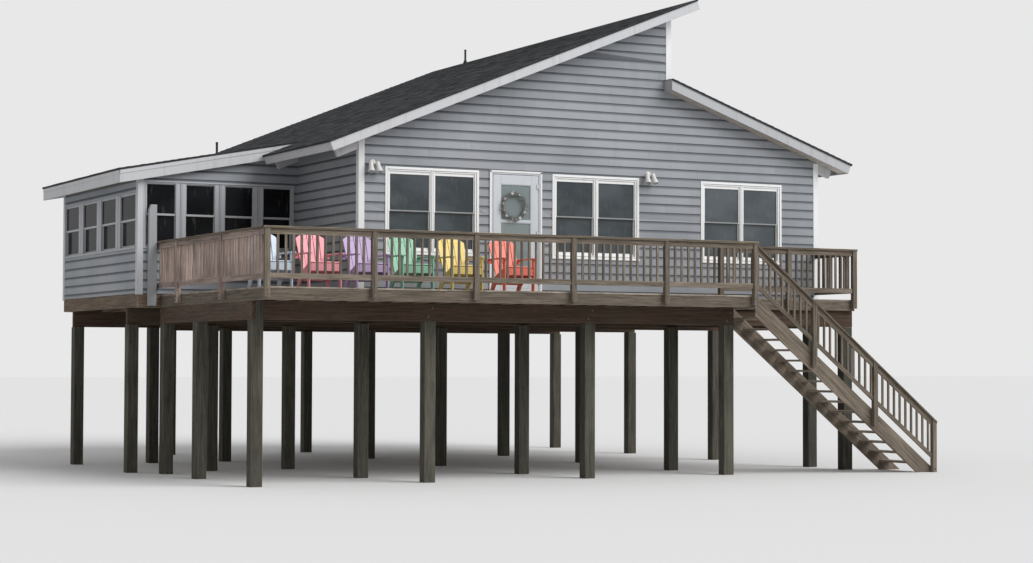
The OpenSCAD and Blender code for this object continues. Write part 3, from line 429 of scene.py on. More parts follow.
# a grey copy of the white sash paint: painted shade on the meeting rails
finish(paintMaterial, "sashRail", (140, 144, 144), dirtShare=0.1, rough=0.5, grainBump=0.06, wear=0.1)
finish(paintMaterial, "leafPaint", (196, 201, 206), dirtShare=0.1, rough=0.4, grainBump=0.08, wear=0.2,
       coat=0.1)
finish(shingleMaterial, "shingles", (72, 75, 79), (42, 44, 48))
finish(glassMaterial, "glass", (44, 52, 56), (88, 95, 100), mirror=0.4, coat=0.3)
finish(glassMaterial, "wingGlass", (8, 9, 11), (34, 36, 40), mirror=0.1, coat=0.06)
finish(glassMaterial, "doorGlass", (116, 128, 129), (140, 149, 148))
finish(woodMaterial, "rail", (130, 119, 106), (78, 68, 59))
finish(woodMaterial, "sideRail", (176, 158, 148), (112, 94, 88), stain=(0.4, colour(84, 78, 78)))
finish(woodMaterial, "cap", (114, 102, 87), (66, 57, 47))
finish(woodMaterial, "deckBoard", (170, 158, 144), (118, 106, 94))
finish(woodMaterial, "pile", (92, 89, 79), (52, 50, 43), stain=(0.5, colour(52, 53, 43)),
       wear=colour(118, 114, 102))
finish(woodMaterial, "beam", (84, 66, 53), (47, 36, 29), wear=colour(112, 96, 82))
finish(woodMaterial, "joist", (134, 116, 98), (88, 74, 62))
finish(woodMaterial, "twig", (150, 147, 142), (66, 62, 60), stain=(0.2, colour(80, 77, 74)))
finish(woodMaterial, "floor", (160, 128, 94), (112, 84, 58), stain=(0.1, colour(90, 70, 50)), rough=0.55)
# dark strips: gaskets round the panes, and painted shade in the window grooves
finish(plasticMaterial, "gasket", (92, 96, 98), rough=0.6)
finish(plasticMaterial, "metal", (176, 176, 172), (110, 104, 96), metallic=0.9, rough=0.35)
finish(plasticMaterial, "bolt", (120, 112, 102), (92, 62, 42), metallic=0.6, rough=0.6, scuffShare=0.6)
finish(plasticMaterial, "blackMetal", (38, 38, 40), (90, 88, 86), metallic=0.4, rough=0.35)
finish(plasticMaterial, "dripEdge", (34, 35, 38), (58, 60, 63), rough=0.7)
finish(plasticMaterial, "blackPlastic", (34, 35, 37), (80, 82, 84), rough=0.55)
finish(plasticMaterial, "whitePlastic", (206, 206, 202), (180, 176, 166), rough=0.4)
finish(plasticMaterial, "lens", (168, 172, 176), (206, 208, 210), rough=0.15)
finish(plasticMaterial, "star", (228, 227, 223), (176, 164, 150), rough=0.8, scuffShare=0.4)
finish(plasterMaterial, "plaster", (204, 198, 184), (176, 168, 152))
print("materials", len(materials))


def inset(outline, amount):  # a closed counter-clockwise outline moved inwards
    made = []
    for i, here in enumerate(outline):
        before, after = np.subtract(here, outline[i - 1]), np.subtract(outline[(i + 1) % len(outline)], here)
        a, b = before / np.hypot(*before), after / np.hypot(*after)
        bisector = np.array([-a[1] - b[1], a[0] + b[0]])
        made.append(tuple(np.array(here) + bisector * amount / (1 + a @ b)))
    return made


def cutCorners(outline, amount):
    made = []
    for i, here in enumerate(outline):
        for other in (outline[i - 1], outline[(i + 1) % len(outline)]):
            way = np.subtract(other, here)
            made.append(tuple(np.array(here) + way / np.hypot(*way) * amount))
    return made


class Boards:  # gathers boards and plates into one mesh, each with a grain map, a tone and worn edges
    def __init__(self, seed):
        self.points, self.faces, self.grain, self.tone, self.edge = [], [], [], [], []
        self.random = random.Random(seed)
        self.turn = Matrix()

    def addFace(self, ids, uv, worn=0.0):
        self.faces.append(ids)
        self.grain += uv
        self.edge.append(worn)

    def prism(self, outline, axis, start, end, bevel=0.003, along=True, grain=(1, 0), tone=None):
        area = sum(a[0] * b[1] - b[0] * a[1] for a, b in zip(outline, outline[1:] + outline[:1]))
        outline = list(outline) if area > 0 else list(outline)[::-1]
        if bevel and along:
            outline = cutCorners(outline, bevel)
        rings = [(outline, start), (outline, end)]
        if bevel:
            small = inset(outline, bevel * 0.5 if along else bevel)
            rings = [(small, start), (outline, start + bevel), (outline, end - bevel), (small, end)]
        count, first = len(outline), len(self.points)
        lengths = [math.dist(outline[i], outline[(i + 1) % count]) for i in range(count)]
        walked = [sum(lengths[:i]) for i in range(count + 1)]
        shift = self.random.random() * 7, self.random.random() * 3  # where on the grain map the board lies
        for ring, level in rings:
            for u, v in ring:
                spot = {"x": (level, u, v), "y": (u, level, v), "z": (u, v, level)}[axis]
                self.points.append(self.turn @ Vector(spot))

        def mapped(u, v, level=0.0):
            return u * grain[0] + v * grain[1], v * grain[0] - u * grain[1] + level

        faces = []
        for r in range(len(rings) - 1):
            (ring, level), (nextRing, nextLevel) = rings[r], rings[r + 1]
            here, above = first + r * count, first + (r + 1) * count
            for i in range(count):
                j = (i + 1) % count
                ids = [here + i, here + j, above + j, above + i]
                if along:
                    a, b = walked[i], walked[i + 1]
                    uv = [(level, a), (level, b), (nextLevel, b), (nextLevel, a)]
                else:
                    uv = [mapped(*ring[i], level), mapped(*ring[j], level),
                          mapped(*nextRing[j], nextLevel), mapped(*nextRing[i], nextLevel)]
                worn = (len(rings) == 4 and r != 1) or (along and bevel and i % 2 == 0)
                faces.append((ids, uv, float(bool(worn))))
        for r, order in ((0, range(count - 1, -1, -1)), (len(rings) - 1, range(count))):
            corners = [rings[r][0][i] for i in order]
            uv = [(u * 0.3, v * 0.3) if along else mapped(u, v) for u, v in corners]
            faces.append(([first + r * count + i for i in order], uv, 0.0))
        flip = -1 if (axis == "y") != (self.turn.determinant() < 0) else 1
        for ids, uv, worn in faces:
            self.addFace(ids[::flip], [(u + shift[0], v + shift[1]) for u, v in uv[::flip]], worn)
        self.tone += [self.random.random() if tone is None else tone] * (len(self.points) - first)

    def box(self, start, end, bevel=0.003, run=None, tone=None):
        size = [b - a for a, b in zip(start, end)]
        run = "xyz"[size.index(max(size))] if run is None else run
        k = "xyz".index(run)
        u, v = [i for i in range(3) if i != k]
        outline = [(start[u], start[v]), (end[u], start[v]), (end[u], end[v]), (start[u], end[v])]
        self.prism(outline, run, start[k], end[k], bevel, tone=tone)

    def round(self, centre, radius, start, end, axis="z", sides=16, bevel=0.002):
        turned = [2 * math.pi * i / sides for i in range(sides)]
        outline = [(centre[0] + radius * math.cos(a), centre[1] + radius * math.sin(a)) for a in turned]
        self.prism(outline, axis, start, end, bevel, along=False)

    def mesh(self, name):
        made = bpy.data.meshes.new(name)
        made.from_pydata([p + origin for p in self.points], [], self.faces)
        made.uv_layers.new(name="grain").data.foreach_set("uv", np.array(self.grain, np.float32).ravel())
        for name, kind, values in (("tone", "POINT", self.tone), ("edge", "FACE", self.edge)):
            made.attributes.new(name, "FLOAT", kind).data.foreach_set("value", np.array(values, np.float32))
        made.update()
        return made

    def piece(self, name, material, slot, stoodFor=(), body="house"):
        return addPiece(name, self.mesh(name), material, stoodFor, body)


def addObject(name, mesh):
    made = bpy.data.objects.new(name, mesh)
    bpy.context.scene.collection.objects.link(made)
    return made


def addPiece(name, mesh, material, stoodFor=(), body="house"):
    made = addObject(name, mesh)
    mesh.materials.clear()
    mesh.materials.append(materials[material])
    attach(made, body)
    if stoodFor:
        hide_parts(*stoodFor)
    return made


def addHidden(name, mesh):  # an object that nodes lay or cut with, and no render shows
    made = addObject(name, mesh)
    made.hide_render = True
    return made


def newGroup(name, inputs):  # a node tree, and the identifier of each of its named inputs
    tree = bpy.data.node_groups.new(name, "GeometryNodeTree")
    keys = {}
    for label, kind in inputs.items():
        socket = tree.interface.new_socket(label, in_out="INPUT", socket_type="NodeSocket" + kind)
        keys[label] = socket.identifier
    tree.interface.new_socket("Geometry", in_out="OUTPUT", socket_type="NodeSocketGeometry")
    return Tree(tree), keys


def grow(name, mesh, group, values, cutters=()):  # what the nodes make of a mesh, as a plain mesh
    t, keys = group
    carrier = addObject(name + "Carrier", mesh)
    modifier = carrier.modifiers.new(name, "NODES")
    modifier.node_group = t.tree
    for key, identifier in keys.items():
        if key in values:
            modifier[identifier] = values[key]
    for operation, cutter in cutters:
        cut = carrier.modifiers.new(operation, "BOOLEAN")
        cut.operation, cut.object, cut.solver = operation, cutter, "MANIFOLD"
    bpy.context.view_layer.update()
    made = bpy.data.meshes.new_from_object(carrier.evaluated_get(bpy.context.evaluated_depsgraph_get()))
    bpy.data.objects.remove(carrier)
    return made


def coursesGroup():  # rows of boards or tabs, each row's joints shifted
    t, keys = newGroup("courses", {
        "Piece": "Object", "Material": "Material", "Rows": "Int", "Columns": "Int", "Pitch": "Float",
        "Length": "Float", "Width": "Float", "Stagger": "Float", "Scatter": "Float", "Jitter": "Float",
        "Gap": "Float", "Swell": "Float", "Tilt": "Float", "Seed": "Int", "Place": "Vector",
        "Turn": "Rotation"})
    given = t.node("NodeGroupInput")
    index = t.node("GeometryNodeInputIndex")
    row = (index / given["Columns"] + 0.0001).maths("FLOOR")
    column = index - row * given["Columns"]
    shift = (row % 2) * given["Stagger"] + t.random(0.0, 1.0, row, given["Seed"] + 31) * given["Scatter"]

    def joint(key, place):
        return (place - shift) * given["Length"] + t.random(-0.5, 0.5, key, given["Seed"]) * given["Jitter"]

    start = (joint(index, column) * (column > 0.5)).maths("MINIMUM", given["Width"]).maths("MAXIMUM", 0.0)
    last = column > given["Columns"] - 1.5
    end = joint(index + 1, column + 1).maths("MAXIMUM", last * given["Width"])
    end = end.maths("MINIMUM", given["Width"])
    length = end - start - given["Gap"]
    spots = t.vector(start + given["Gap"] / 2, row * given["Pitch"], 0.0)
    points = t.node("GeometryNodePoints", {}, {"Count": given["Rows"] * given["Columns"], "Position": spots})
    lean = t.vector(t.random(-1.0, 1.0, index, given["Seed"] + 5) * given["Tilt"], 0.0, 0.0)
    swell = 1 + t.random(-1.0, 1.0, index, given["Seed"] + 7) * given["Swell"]
    shape = {"Selection": length > 0.004, "Rotation": lean, "Scale": t.vector(length, 1.0, swell)}
    real = t.layPieces(given, points, shape, 9)
    x, y, z = t.split(t.node("GeometryNodeInputPosition"))
    tone = t.node("GeometryNodeInputNamedAttribute", {"data_type": "FLOAT"}, {"Name": "tone"})["Attribute"]
    mapped = t.node("GeometryNodeStoreNamedAttribute", {"data_type": "FLOAT2", "domain": "CORNER"},
                    {"Geometry": real, "Name": "grain", "Value": t.vector(x + tone * 17, y, 0.0)})
    t.close(given, t.node("GeometryNodeTransform", {},
                          {"Geometry": mapped, "Translation": given["Place"], "Rotation": given["Turn"]}))
    return t, keys


courses = coursesGroup()
plainLay = {"stagger": 0.0, "scatter": 0.0, "jitter": 0.0, "gap": 0.0, "swell": 0.0, "tilt": 0.0}


def profilePiece(name, outline, worn=()):  # a unit length of a board along X, from its outline in Y and Z
    count = len(outline)
    mesh = bpy.data.meshes.new(name)
    points = [(x, u, v) for x in (0, 1) for u, v in outline]
    sides = [(i, (i + 1) % count, count + (i + 1) % count, count + i)[::-1] for i in range(count)]
    caps = [tuple(range(count)), tuple(range(2 * count - 1, count - 1, -1))]
    mesh.from_pydata(points, [], sides + caps)
    edge = mesh.attributes.new("edge", "FLOAT", "FACE")
    edge.data.foreach_set("value", [float(i in worn) for i in range(count)] + [0.0, 0.0])
    mesh.flip_normals()
    return addHidden(name, mesh)


def layCourses(name, material, settings, cutters=()):
    xWay, yWay = Vector(settings["run"]).normalized(), Vector(settings["rise"]).normalized()
    turn = Matrix((xWay, yWay, xWay.cross(yWay))).transposed()
    values = {key.capitalize(): value for key, value in {**plainLay, **settings}.items()}
    values.update({"Columns": math.ceil(settings["width"] / settings["length"]) + 2, "Turn": turn.to_euler(),
                   "Place": Vector(settings["place"]) + origin, "Material": materials[material]})
    return grow(name, bpy.data.meshes.new(name + "Carrier"), courses, values, cutters)


def joinMeshes(name, meshes):
    if len(meshes) == 1:
        return meshes[0]
    parts = [addObject(name + str(i), mesh) for i, mesh in enumerate(meshes)]
    with bpy.context.temp_override(active_object=parts[0], selected_editable_objects=parts):
        bpy.ops.object.join()
    made = parts[0].data
    bpy.data.objects.remove(parts[0])
    return made


# Siding: boards lapped over the walls' outer faces, cut to the gables and round the openings
windows = {
    "size": (1.82, 1.525), "bottom": 0.687,
    "front": (3.092, 6.393, 9.560),
    "back": (mainL + 0.9, (mainL + mainR - 1.82) / 2, mainR - 0.9 - 1.82),
    "right": (mainF + 1.1, (mainF + mainB - 1.82) / 2, mainB - 1.1 - 1.82),
    "side": 0.1, "head": 0.125, "bar": 0.12, "rail": 0.045,
}
wingWindows = {
    "frontX": (wingL + 0.09, mainL - 0.08), "frontZ": (0.83, 2.04),
    "leftY": (wingF + 0.09, wingB - 0.09), "leftZ": (0.83, 1.855),
}
door = {
    "x": (5.123, 6.173), "top": 2.23, "jamb": 0.062, "leafT": 0.040, "margin": 0.070, "front": 0.025,
    "sill": 0.030, "stile": 0.150, "topRail": 0.170, "kick": 0.250, "midZ": 1.310, "midH": 0.040,
    "bead": 0.012,  # round each pane
    "hingeH": 0.080, "hingeIn": 0.15, "handleX": 0.055, "handleZ": 0.880,
}
pitch = siding["pitch"]
lap = [(0.0, 0.001), (0.0, 0.0135), (0.003, 0.015), (pitch * 0.74, 0.0135), (pitch * 0.80, 0.012),
       (pitch * 0.88, 0.006), (pitch - 0.0002, 0.003), (pitch - 0.0002, 0.001)]
lapPiece = profilePiece("lapPiece", lap)
firstCourse = siding["lineZ"] - siding["below"] * pitch


def rectangle(u0, u1, v0, v1):
    return [(u0, v0), (u1, v0), (u1, v1), (u0, v1)]


def cutterOf(name, outlines, axis, face, reach):  # prisms through a wall, to cut its boards with
    shape = Boards(1)
    for outline in outlines:
        shape.prism(outline, axis, face - reach, face + reach, bevel=0, along=False)
    return addHidden(name, shape.mesh(name))


def wallSiding(name, axis, face, outline, holes, outward, seed):
    across = [p[0] for p in outline]
    top = max(p[1] for p in outline)
    reach = 0.06
    cutters = [("INTERSECT", cutterOf(name + "Edge", [outline], axis, face, reach))]
    if holes:
        rims = [rectangle(*wide, *tall) for wide, tall in holes]
        cutters.append(("DIFFERENCE", cutterOf(name + "Holes", rims, axis, face, reach * 2)))
    rightward = (axis == "y") == (outward < 0)
    run = {"y": (1, 0, 0), "x": (0, 1, 0)}[axis]
    begin = min(across) if rightward else max(across)
    place = {"y": (begin, face, firstCourse), "x": (face, begin, firstCourse)}[axis]
    return layCourses(name, "siding", {
        "piece": lapPiece, "run": run if rightward else [-v for v in run], "rise": (0, 0, 1), "place": place,
        "rows": math.ceil((top - firstCourse) / pitch) + 1, "pitch": pitch,
        "width": max(across) - min(across), "seed": seed, **siding["lay"]}, cutters)


def span(start, length):
    return (start, start + length)


winW, winH = windows["size"]
winZ = span(windows["bottom"], winH)
underRoof, skirt = roofT + 0.002, floorZ - 0.03
leftTop, rightEnd = mainTop(mainL) - underRoof, rightTop(mainR) - underRoof
clereLow, clereTop = rightTop(clereX), mainTop(clereX) - underRoof
frontOutline = [(mainL, skirt), (mainR, skirt), (mainR, rightEnd), (clereX, clereLow - underRoof),
                (clereX, clereTop), (mainL, leftTop)]
frontHoles = [(span(x, winW), winZ) for x in windows["front"]] + [(door["x"], (-0.5, door["top"]))]
backHoles = [(span(x, winW), winZ) for x in windows["back"]]
rightHoles = [(span(y, winW), winZ) for y in windows["right"]]
frontSiding = wallSiding("frontSiding", "y", mainF, frontOutline, frontHoles, -1, 11)
backSiding = wallSiding("backSiding", "y", mainB, frontOutline, backHoles, 1, 12)
sideParts = [
    wallSiding("leftFront", "x", mainL, rectangle(mainF, wingF, skirt, leftTop), [], -1, 13),
    wallSiding("leftBack", "x", mainL, rectangle(wingB, mainB, skirt, leftTop), [], -1, 14),
    wallSiding("rightSide", "x", mainR, rectangle(mainF, mainB, skirt, rightEnd), rightHoles, 1, 15),
    wallSiding("clerestory", "x", clereX, rectangle(mainF, mainB, clereLow + 0.003, clereTop), [], 1, 16),
]
wingInner, wingOuter = wingTop(mainL) - underRoof, wingTop(wingL) - underRoof
wingEnd = [(wingL, skirt), (mainL, skirt), (mainL, wingInner), (wingL, wingOuter)]
wingSide = rectangle(wingF, wingB, skirt, wingOuter)
wingParts = [
    wallSiding("wingFront", "y", wingF, wingEnd, [(wingWindows["frontX"], wingWindows["frontZ"])], -1, 17),
    wallSiding("wingBack", "y", wingB, wingEnd, [(wingWindows["frontX"], wingWindows["frontZ"])], 1, 18),
    wallSiding("wingLeft", "x", wingL, wingSide, [(wingWindows["leftY"], wingWindows["leftZ"])], -1, 19),
]
sidings = {"front_siding": [frontSiding], "back_siding": [backSiding], "side_siding": sideParts,
           "wing_siding": wingParts}
for name, meshes in sidings.items():
    addPiece(name, joinMeshes(name, meshes), "siding")
print("siding")

# Roofs: shingle courses over sheathing boards whose grooved undersides show at the eaves
shingle = {
    "t": 0.0075, "drip": 0.024, "lift": 0.014,
    "rows": {"main": 6, "right": 28, "wing": 25},  # the main slope's are those beside the wing
    "clear": 0.016,  # between the courses and a wall's boards
    "lay": {"length": 0.305, "stagger": 0.37, "scatter": 0.45, "jitter": 0.05, "gap": 0.0025, "swell": 0.28,
            "tilt": 0.004},
}
sheath = {"width": 0.184, "t": 0.046, "groove": 0.006, "lay": {"length": 3.2, "scatter": 1.0, "gap": 0.001}}
dripEdge = {"t": 0.018, "below": 0.018}
stub = {"depth": 0.305, "left": 0.505, "right": 0.395}
soffit = {"depth": 0.185, "t": 0.015, "clear": 0.016}
fascia = {"strip": 0.36, "proud": 0.010, "eave": 0.175, "main": 0.187, "right": 0.195, "wing": 0.243}


def squareCut(lean, depth):  # from the top corner of a square cut to its bottom corner
    return depth * lean / (1 + lean * lean), -depth / (1 + lean * lean)


leftBoardX = eaveX + squareCut(-mainPitch, roofT)[0]
rightBoardX = rightX + squareCut(rightPitch, roofT)[0]
eaveEdge, ridgeEdge, wingEdge = leftBoardX - fasciaT, ridgeX + fasciaT, wingX - fasciaT
wrapEdge, rightEdge = wrapX - fasciaT, rightBoardX + fasciaT


def roofPiece(name, rowPitch):
    t, end = shingle["t"], rowPitch - 0.0004
    outline = [(0.0, -0.002), (0.0, t), (0.004, t + 0.0006), (end, 0.0015), (end, -0.002)]
    return profilePiece(name, outline, worn=(1,))


def climb(x0, x1, topOf, y0, y1, lift, pitch, seed):  # how courses lie that climb a slope from x0 to x1
    rise = Vector((x1 - x0, 0, topOf(x1) - topOf(x0)))
    rows = max(1, round(rise.length / pitch))
    rightward = x1 > x0
    return {"run": (0, -1 if rightward else 1, 0), "rise": rise, "rows": rows, "pitch": rise.length / rows,
            "place": (x0, y1 if rightward else y0, topOf(x0) + lift), "width": y1 - y0, "seed": seed}


def roofCourses(name, x0, x1, topOf, y0, y1, rowPitch, seed, piece):
    way = climb(x0, x1, topOf, y0, y1, shingle["lift"], rowPitch, seed)
    return layCourses(name, "shingles", {"piece": piece, **way, **shingle["lay"]})


def grooveBoards(name, material, x0, x1, topOf, y0, y1, t=sheath["t"]):
    way = climb(x0, x1, topOf, y0, y1, 0.0, sheath["width"], 40)
    w, g = way["pitch"], sheath["groove"]
    down = -t * abs(x1 - x0) / way["rise"].length
    outline = [(0.0005, -0.0015), (0.0005, down + g), (g, down), (w - g, down), (w - 0.0005, down + g),
               (w - 0.0005, -0.0015)]
    piece = profilePiece(name + "Piece", outline)
    return layCourses(name, material, {"piece": piece, **way, **sheath["lay"]})


over = fasciaT + shingle["drip"]
overF, overB, wingOverF, wingOverB = rakeF - over, rakeB + over, wingRakeF - over, wingRakeB + over
rightOverF, rightOverB = rightRakeF - over, rightRakeB + over
eaveStart = eaveEdge - shingle["drip"]
rowPitch = math.hypot(mainL - eaveStart, mainTop(mainL) - mainTop(eaveStart)) / shingle["rows"]["main"]
mainPiece = roofPiece("mainShingle", rowPitch)
ridgeEnd = ridgeEdge + shingle["drip"]
mainShingles = joinMeshes("mainShingles", [
    roofCourses("eaveFront", eaveStart, mainL, mainTop, overF, wingOverF, rowPitch, 21, mainPiece),
    roofCourses("eaveBack", eaveStart, mainL, mainTop, wingOverB, overB, rowPitch, 22, mainPiece),
    roofCourses("mainUpper", mainL, ridgeEnd, mainTop, overF, overB, rowPitch, 23, mainPiece)])
rightStart, clear = rightEdge + shingle["drip"], shingle["clear"]
rightLength = math.hypot(rightStart - clereX - clear, rightTop(clereX) - rightTop(rightStart))
rightRow = rightLength / shingle["rows"]["right"]
rightPiece = roofPiece("rightShingle", rightRow)
wallX, wrapEnd = clereX + clear, wrapEdge + 0.004
rightShingles = joinMeshes("rightShingles", [
    roofCourses("rightMain", rightStart, wallX, rightTop, rightOverF, rightOverB, rightRow, 24, rightPiece),
    roofCourses("wrapFront", wallX, wrapEnd, rightTop, rightOverF, mainF - clear, rightRow, 25, rightPiece),
    roofCourses("wrapBack", wallX, wrapEnd, rightTop, mainB + clear, rightOverB, rightRow, 26, rightPiece)])
wingStart = wingEdge - shingle["drip"]
wingRow = math.hypot(mainL - wingStart, wingTop(mainL) - wingTop(wingStart)) / shingle["rows"]["wing"]
wingPiece = roofPiece("wingShingle", wingRow)
wingShingles = roofCourses("wingShingles", wingStart, mainL, wingTop, wingOverF, wingOverB, wingRow, 27,
                           wingPiece)
addPiece("main_shingles", mainShingles, "shingles", ["main_roof"])
addPiece("right_shingles", rightShingles, "shingles", ["right_roof"])
addPiece("wing_shingles", wingShingles, "shingles", ["wing_roof"])
sheathing = joinMeshes("sheathing", [
    grooveBoards("eaveFrontDeck", "soffit", eaveX, mainL, mainTop, rakeF, wingRakeF - fasciaT),
    grooveBoards("eaveBackDeck", "soffit", eaveX, mainL, mainTop, wingRakeB + fasciaT, rakeB),
    grooveBoards("mainDeck", "soffit", mainL, ridgeX, mainTop, rakeF, rakeB),
    grooveBoards("rightDeck", "soffit", rightX, clereX, rightTop, rightRakeF, rightRakeB),
    grooveBoards("wrapFrontDeck", "soffit", clereX, wrapX, rightTop, rightRakeF, mainF),
    grooveBoards("wrapBackDeck", "soffit", clereX, wrapX, rightTop, mainB, rightRakeB),
    grooveBoards("wingDeck", "soffit", wingX, mainL, wingTop, wingRakeF, wingRakeB)])
addPiece("roof_sheathing", sheathing, "soffit")


def soffitTop(x):
    return rightTop(x) - soffit["depth"] + soffit["t"]


soffitX = rightX - squareCut(rightPitch, soffit["depth"] - roofT)[0] - 0.001
soffitEnds = {"frontSoffit": (rightRakeF + 0.001, mainF - soffit["clear"]),
              "backSoffit": (mainB + soffit["clear"], rightRakeB - 0.001)}
soffits = [grooveBoards(name, "warmSoffit", soffitX, wrapX + 0.001, soffitTop, *ends, t=soffit["t"])
           for name, ends in soffitEnds.items()]
addPiece("rake_soffits", joinMeshes("soffits", soffits), "warmSoffit")

# Dark drip edges close the shingles' rims
drips = Boards(70)


def dripAlong(x0, x1, topOf, y, outward):
    ends = y, y + outward * dripEdge["t"]
    outline = slab(x0, x1, topOf, -dripEdge["below"], shingle["lift"])
    drips.prism(outline, "y", min(ends), max(ends), 0.002, along=False)


def dripAcross(x, outward, topOf, y0, y1):
    outline = slab(x, x + outward * dripEdge["t"], topOf, -dripEdge["below"], shingle["lift"])
    drips.prism(outline, "y", y0, y1, 0.002)


reachOut = dripEdge["t"] - 0.001
for *rakes, outward in ((rakeF, rightRakeF, wingRakeF, -1), (rakeB, rightRakeB, wingRakeB, 1)):
    y, rightY, wingY = [rake + outward * fasciaT for rake in rakes]
    dripAlong(eaveEdge - reachOut, ridgeEdge + reachOut, mainTop, y, outward)
    dripAlong(wrapEdge, rightEdge + reachOut, rightTop, rightY, outward)
    dripAlong(wingEdge - reachOut, mainL, wingTop, wingY, outward)
    dripAcross(eaveEdge, -1, mainTop, *sorted((y, wingY + outward * dripEdge["t"])))
dripAcross(ridgeEdge, 1, mainTop, rakeF - fasciaT, rakeB + fasciaT)
dripAcross(rightEdge, 1, rightTop, rightRakeF - fasciaT, rightRakeB + fasciaT)
dripAcross(wingEdge, -1, wingTop, wingRakeF - fasciaT, wingRakeB + fasciaT)
drips.piece("drip_edges", "dripEdge", "shingles")
print("roofs")


def blocks(node):  # the corners of each separate solid of a CAD node
    mesh = frame["nodes"][node].data
    keys, owner = {}, []
    for vertex in mesh.vertices:
        owner.append(keys.setdefault(tuple(round(v, 4) for v in vertex.co), len(keys)))
    group = list(range(len(keys)))

    def root(i):
        while group[i] != i:
            group[i] = group[group[i]]
            i = group[i]
        return i

    for polygon in mesh.polygons:
        first = root(owner[polygon.vertices[0]])
        for v in polygon.vertices[1:]:
            group[root(owner[v])] = first
    found = {}
    for spot, i in keys.items():
        found.setdefault(root(i), []).append(spot)
    return [(Vector(np.min(spots, 0)) - origin, Vector(np.max(spots, 0)) - origin)
            for spots in found.values()]


def boardsOf(name, node, material, slot, seed, plies=1, bevel=0.004, gap=0.0015, shadeX=-9):
    shape = Boards(seed)
    for start, end in blocks(node):
        size = end - start
        across = 0 if size.x < size.y else 1
        for i in range(plies):
            a, b = start.copy(), end.copy()
            a[across] = start[across] + size[across] * i / plies + gap * (i > 0)
            b[across] = start[across] + size[across] * (i + 1) / plies
            # painted shade: a board that starts left of shadeX takes the darkest tone
            shape.box(a, b, bevel, tone=0.0 if a.x < shadeX else None)
    return shape.piece(name, material, slot, [node])


# Frame under the floors: piles notched for the beams, doubled beams and single joists
boardsOf("girders", "house_girders", "beam", "beam_timber", 51, plies=2)
boardsOf("beams", "deck_beams", "beam", "beam_timber", 52, plies=2)
boardsOf("deck_joist_boards", "deck_joists", "joist", "joist_timber", 53)
boardsOf("house_joist_boards", "house_joists", "joist", "joist_timber", 54)
# the rim boards on the deck's left side take the darkest tone as painted shade
boardsOf("rim_boards", "deck_rim", "rail", "rail_timber", 55, shadeX=0.02)
boardsOf("house_pile_timbers", "house_piles", "pile", "pile_timber", 56, bevel=0.009)
joistLow, beamLow = low("deck_joists").z, low("deck_beams").z
pile = {"beam": 0.076, "bevel": 0.009, "boltIn": 0.06, "boltOff": 0.08}
deckPiles = Boards(57)
pileBolts = []
for start, end in blocks("deck_piles"):
    if end.z < joistLow - 0.01:
        deckPiles.box(start, end, pile["bevel"])
        continue
    front = start.x > 0.1  # a pile of the front row, else one on the deck's left side
    (u0, u1), (v0, v1) = (start.y, end.y), (start.x, end.x)
    if not front:
        (u0, u1), (v0, v1) = (v0, v1), (u0, u1)
    notch = u0 + pile["beam"]
    outline = [(u0, ground), (u1, ground), (u1, joistLow), (notch, joistLow), (notch, beamLow), (u0, beamLow)]
    deckPiles.prism(outline, "x" if front else "y", v0, v1, pile["bevel"], along=False, grain=(0, 1))
    lowBolt = v0 + pile["boltIn"], beamLow + pile["boltOff"]
    highBolt = v1 - pile["boltIn"], joistLow - pile["boltOff"]
    for v, z in (lowBolt, highBolt):
        pileBolts.append(((v, u0, z), "y") if front else ((u0, v, z), "x"))
deckPiles.piece("deck_pile_timbers", "pile", "pile_timber", ["deck_piles"])

# Floors
sheetTop = floorZ - 0.0185
deckPlank = {"width": 0.14, "gap": 0.005, "length": 3.66, "t": -low("deck_floor").z}
housePlank = {"width": 0.127, "gap": 0.0008, "length": 1.8, "t": 0.018}
sheet = {"width": 1.22, "gap": 0.003, "length": 2.44, "t": sheetTop - low("house_floor").z}
floorLay = {"scatter": 1.0, "gap": 0.003, "swell": 0.03}  # joints between the ends


def boardPiece(name, width, t, bevel=0.004):
    outline = [(0, -t), (width, -t), (width, -bevel), (width - bevel, 0.0), (bevel, 0.0), (0, -bevel)]
    return profilePiece(name, outline, worn=(2, 4))


def floorCourses(name, material, board, corner, farCorner, z, seed, runX=True):
    (x0, y0), (x1, y1), gap = corner, farCorner, board["gap"]
    across, run = (y1 - y0, x1 - x0) if runX else (x1 - x0, y1 - y0)
    rows = round(across / (board["width"] + gap))
    step = across / rows
    return layCourses(name, material, {
        "piece": boardPiece(name + "Piece", step - gap, board["t"]),
        "run": (1, 0, 0) if runX else (0, 1, 0), "rise": (0, 1, 0) if runX else (-1, 0, 0),
        "place": (x0, y0 + gap / 2, z) if runX else (x1 - gap / 2, y0, z),
        "rows": rows, "pitch": step, "length": board["length"], "width": run, "seed": seed, **floorLay})


deckEdge, deckBack = -0.012, mainF - 0.006
sideCorner, walkCorner = (mainL - 0.018, wingF - 0.018), (walkR + 0.008, deckBack)
deckFloor = joinMeshes("deckFloor", [
    floorCourses("deckFront", "deckBoard", deckPlank, (deckEdge, deckEdge), (deckR, deckBack), 0.0, 61),
    floorCourses("deckSide", "deckBoard", deckPlank, (deckEdge, mainF), sideCorner, 0.0, 62, runX=False),
    floorCourses("deckWalk", "deckBoard", deckPlank, (deckR + 0.003, walkF), walkCorner, 0.0, 63)])
addPiece("deck_planks", deckFloor, "deckBoard", ["deck_floor"])
mainCorners, wingCorners = ((mainL, mainF), (mainR, mainB)), ((wingL, wingF), (mainL - 0.001, wingB))
houseFloor = joinMeshes("houseFloor", [
    floorCourses("mainPlanks", "floor", housePlank, *mainCorners, floorZ, 64),
    floorCourses("wingPlanks", "floor", housePlank, *wingCorners, floorZ, 65)])
addPiece("floor_planks", houseFloor, "floor", ["house_floor"])
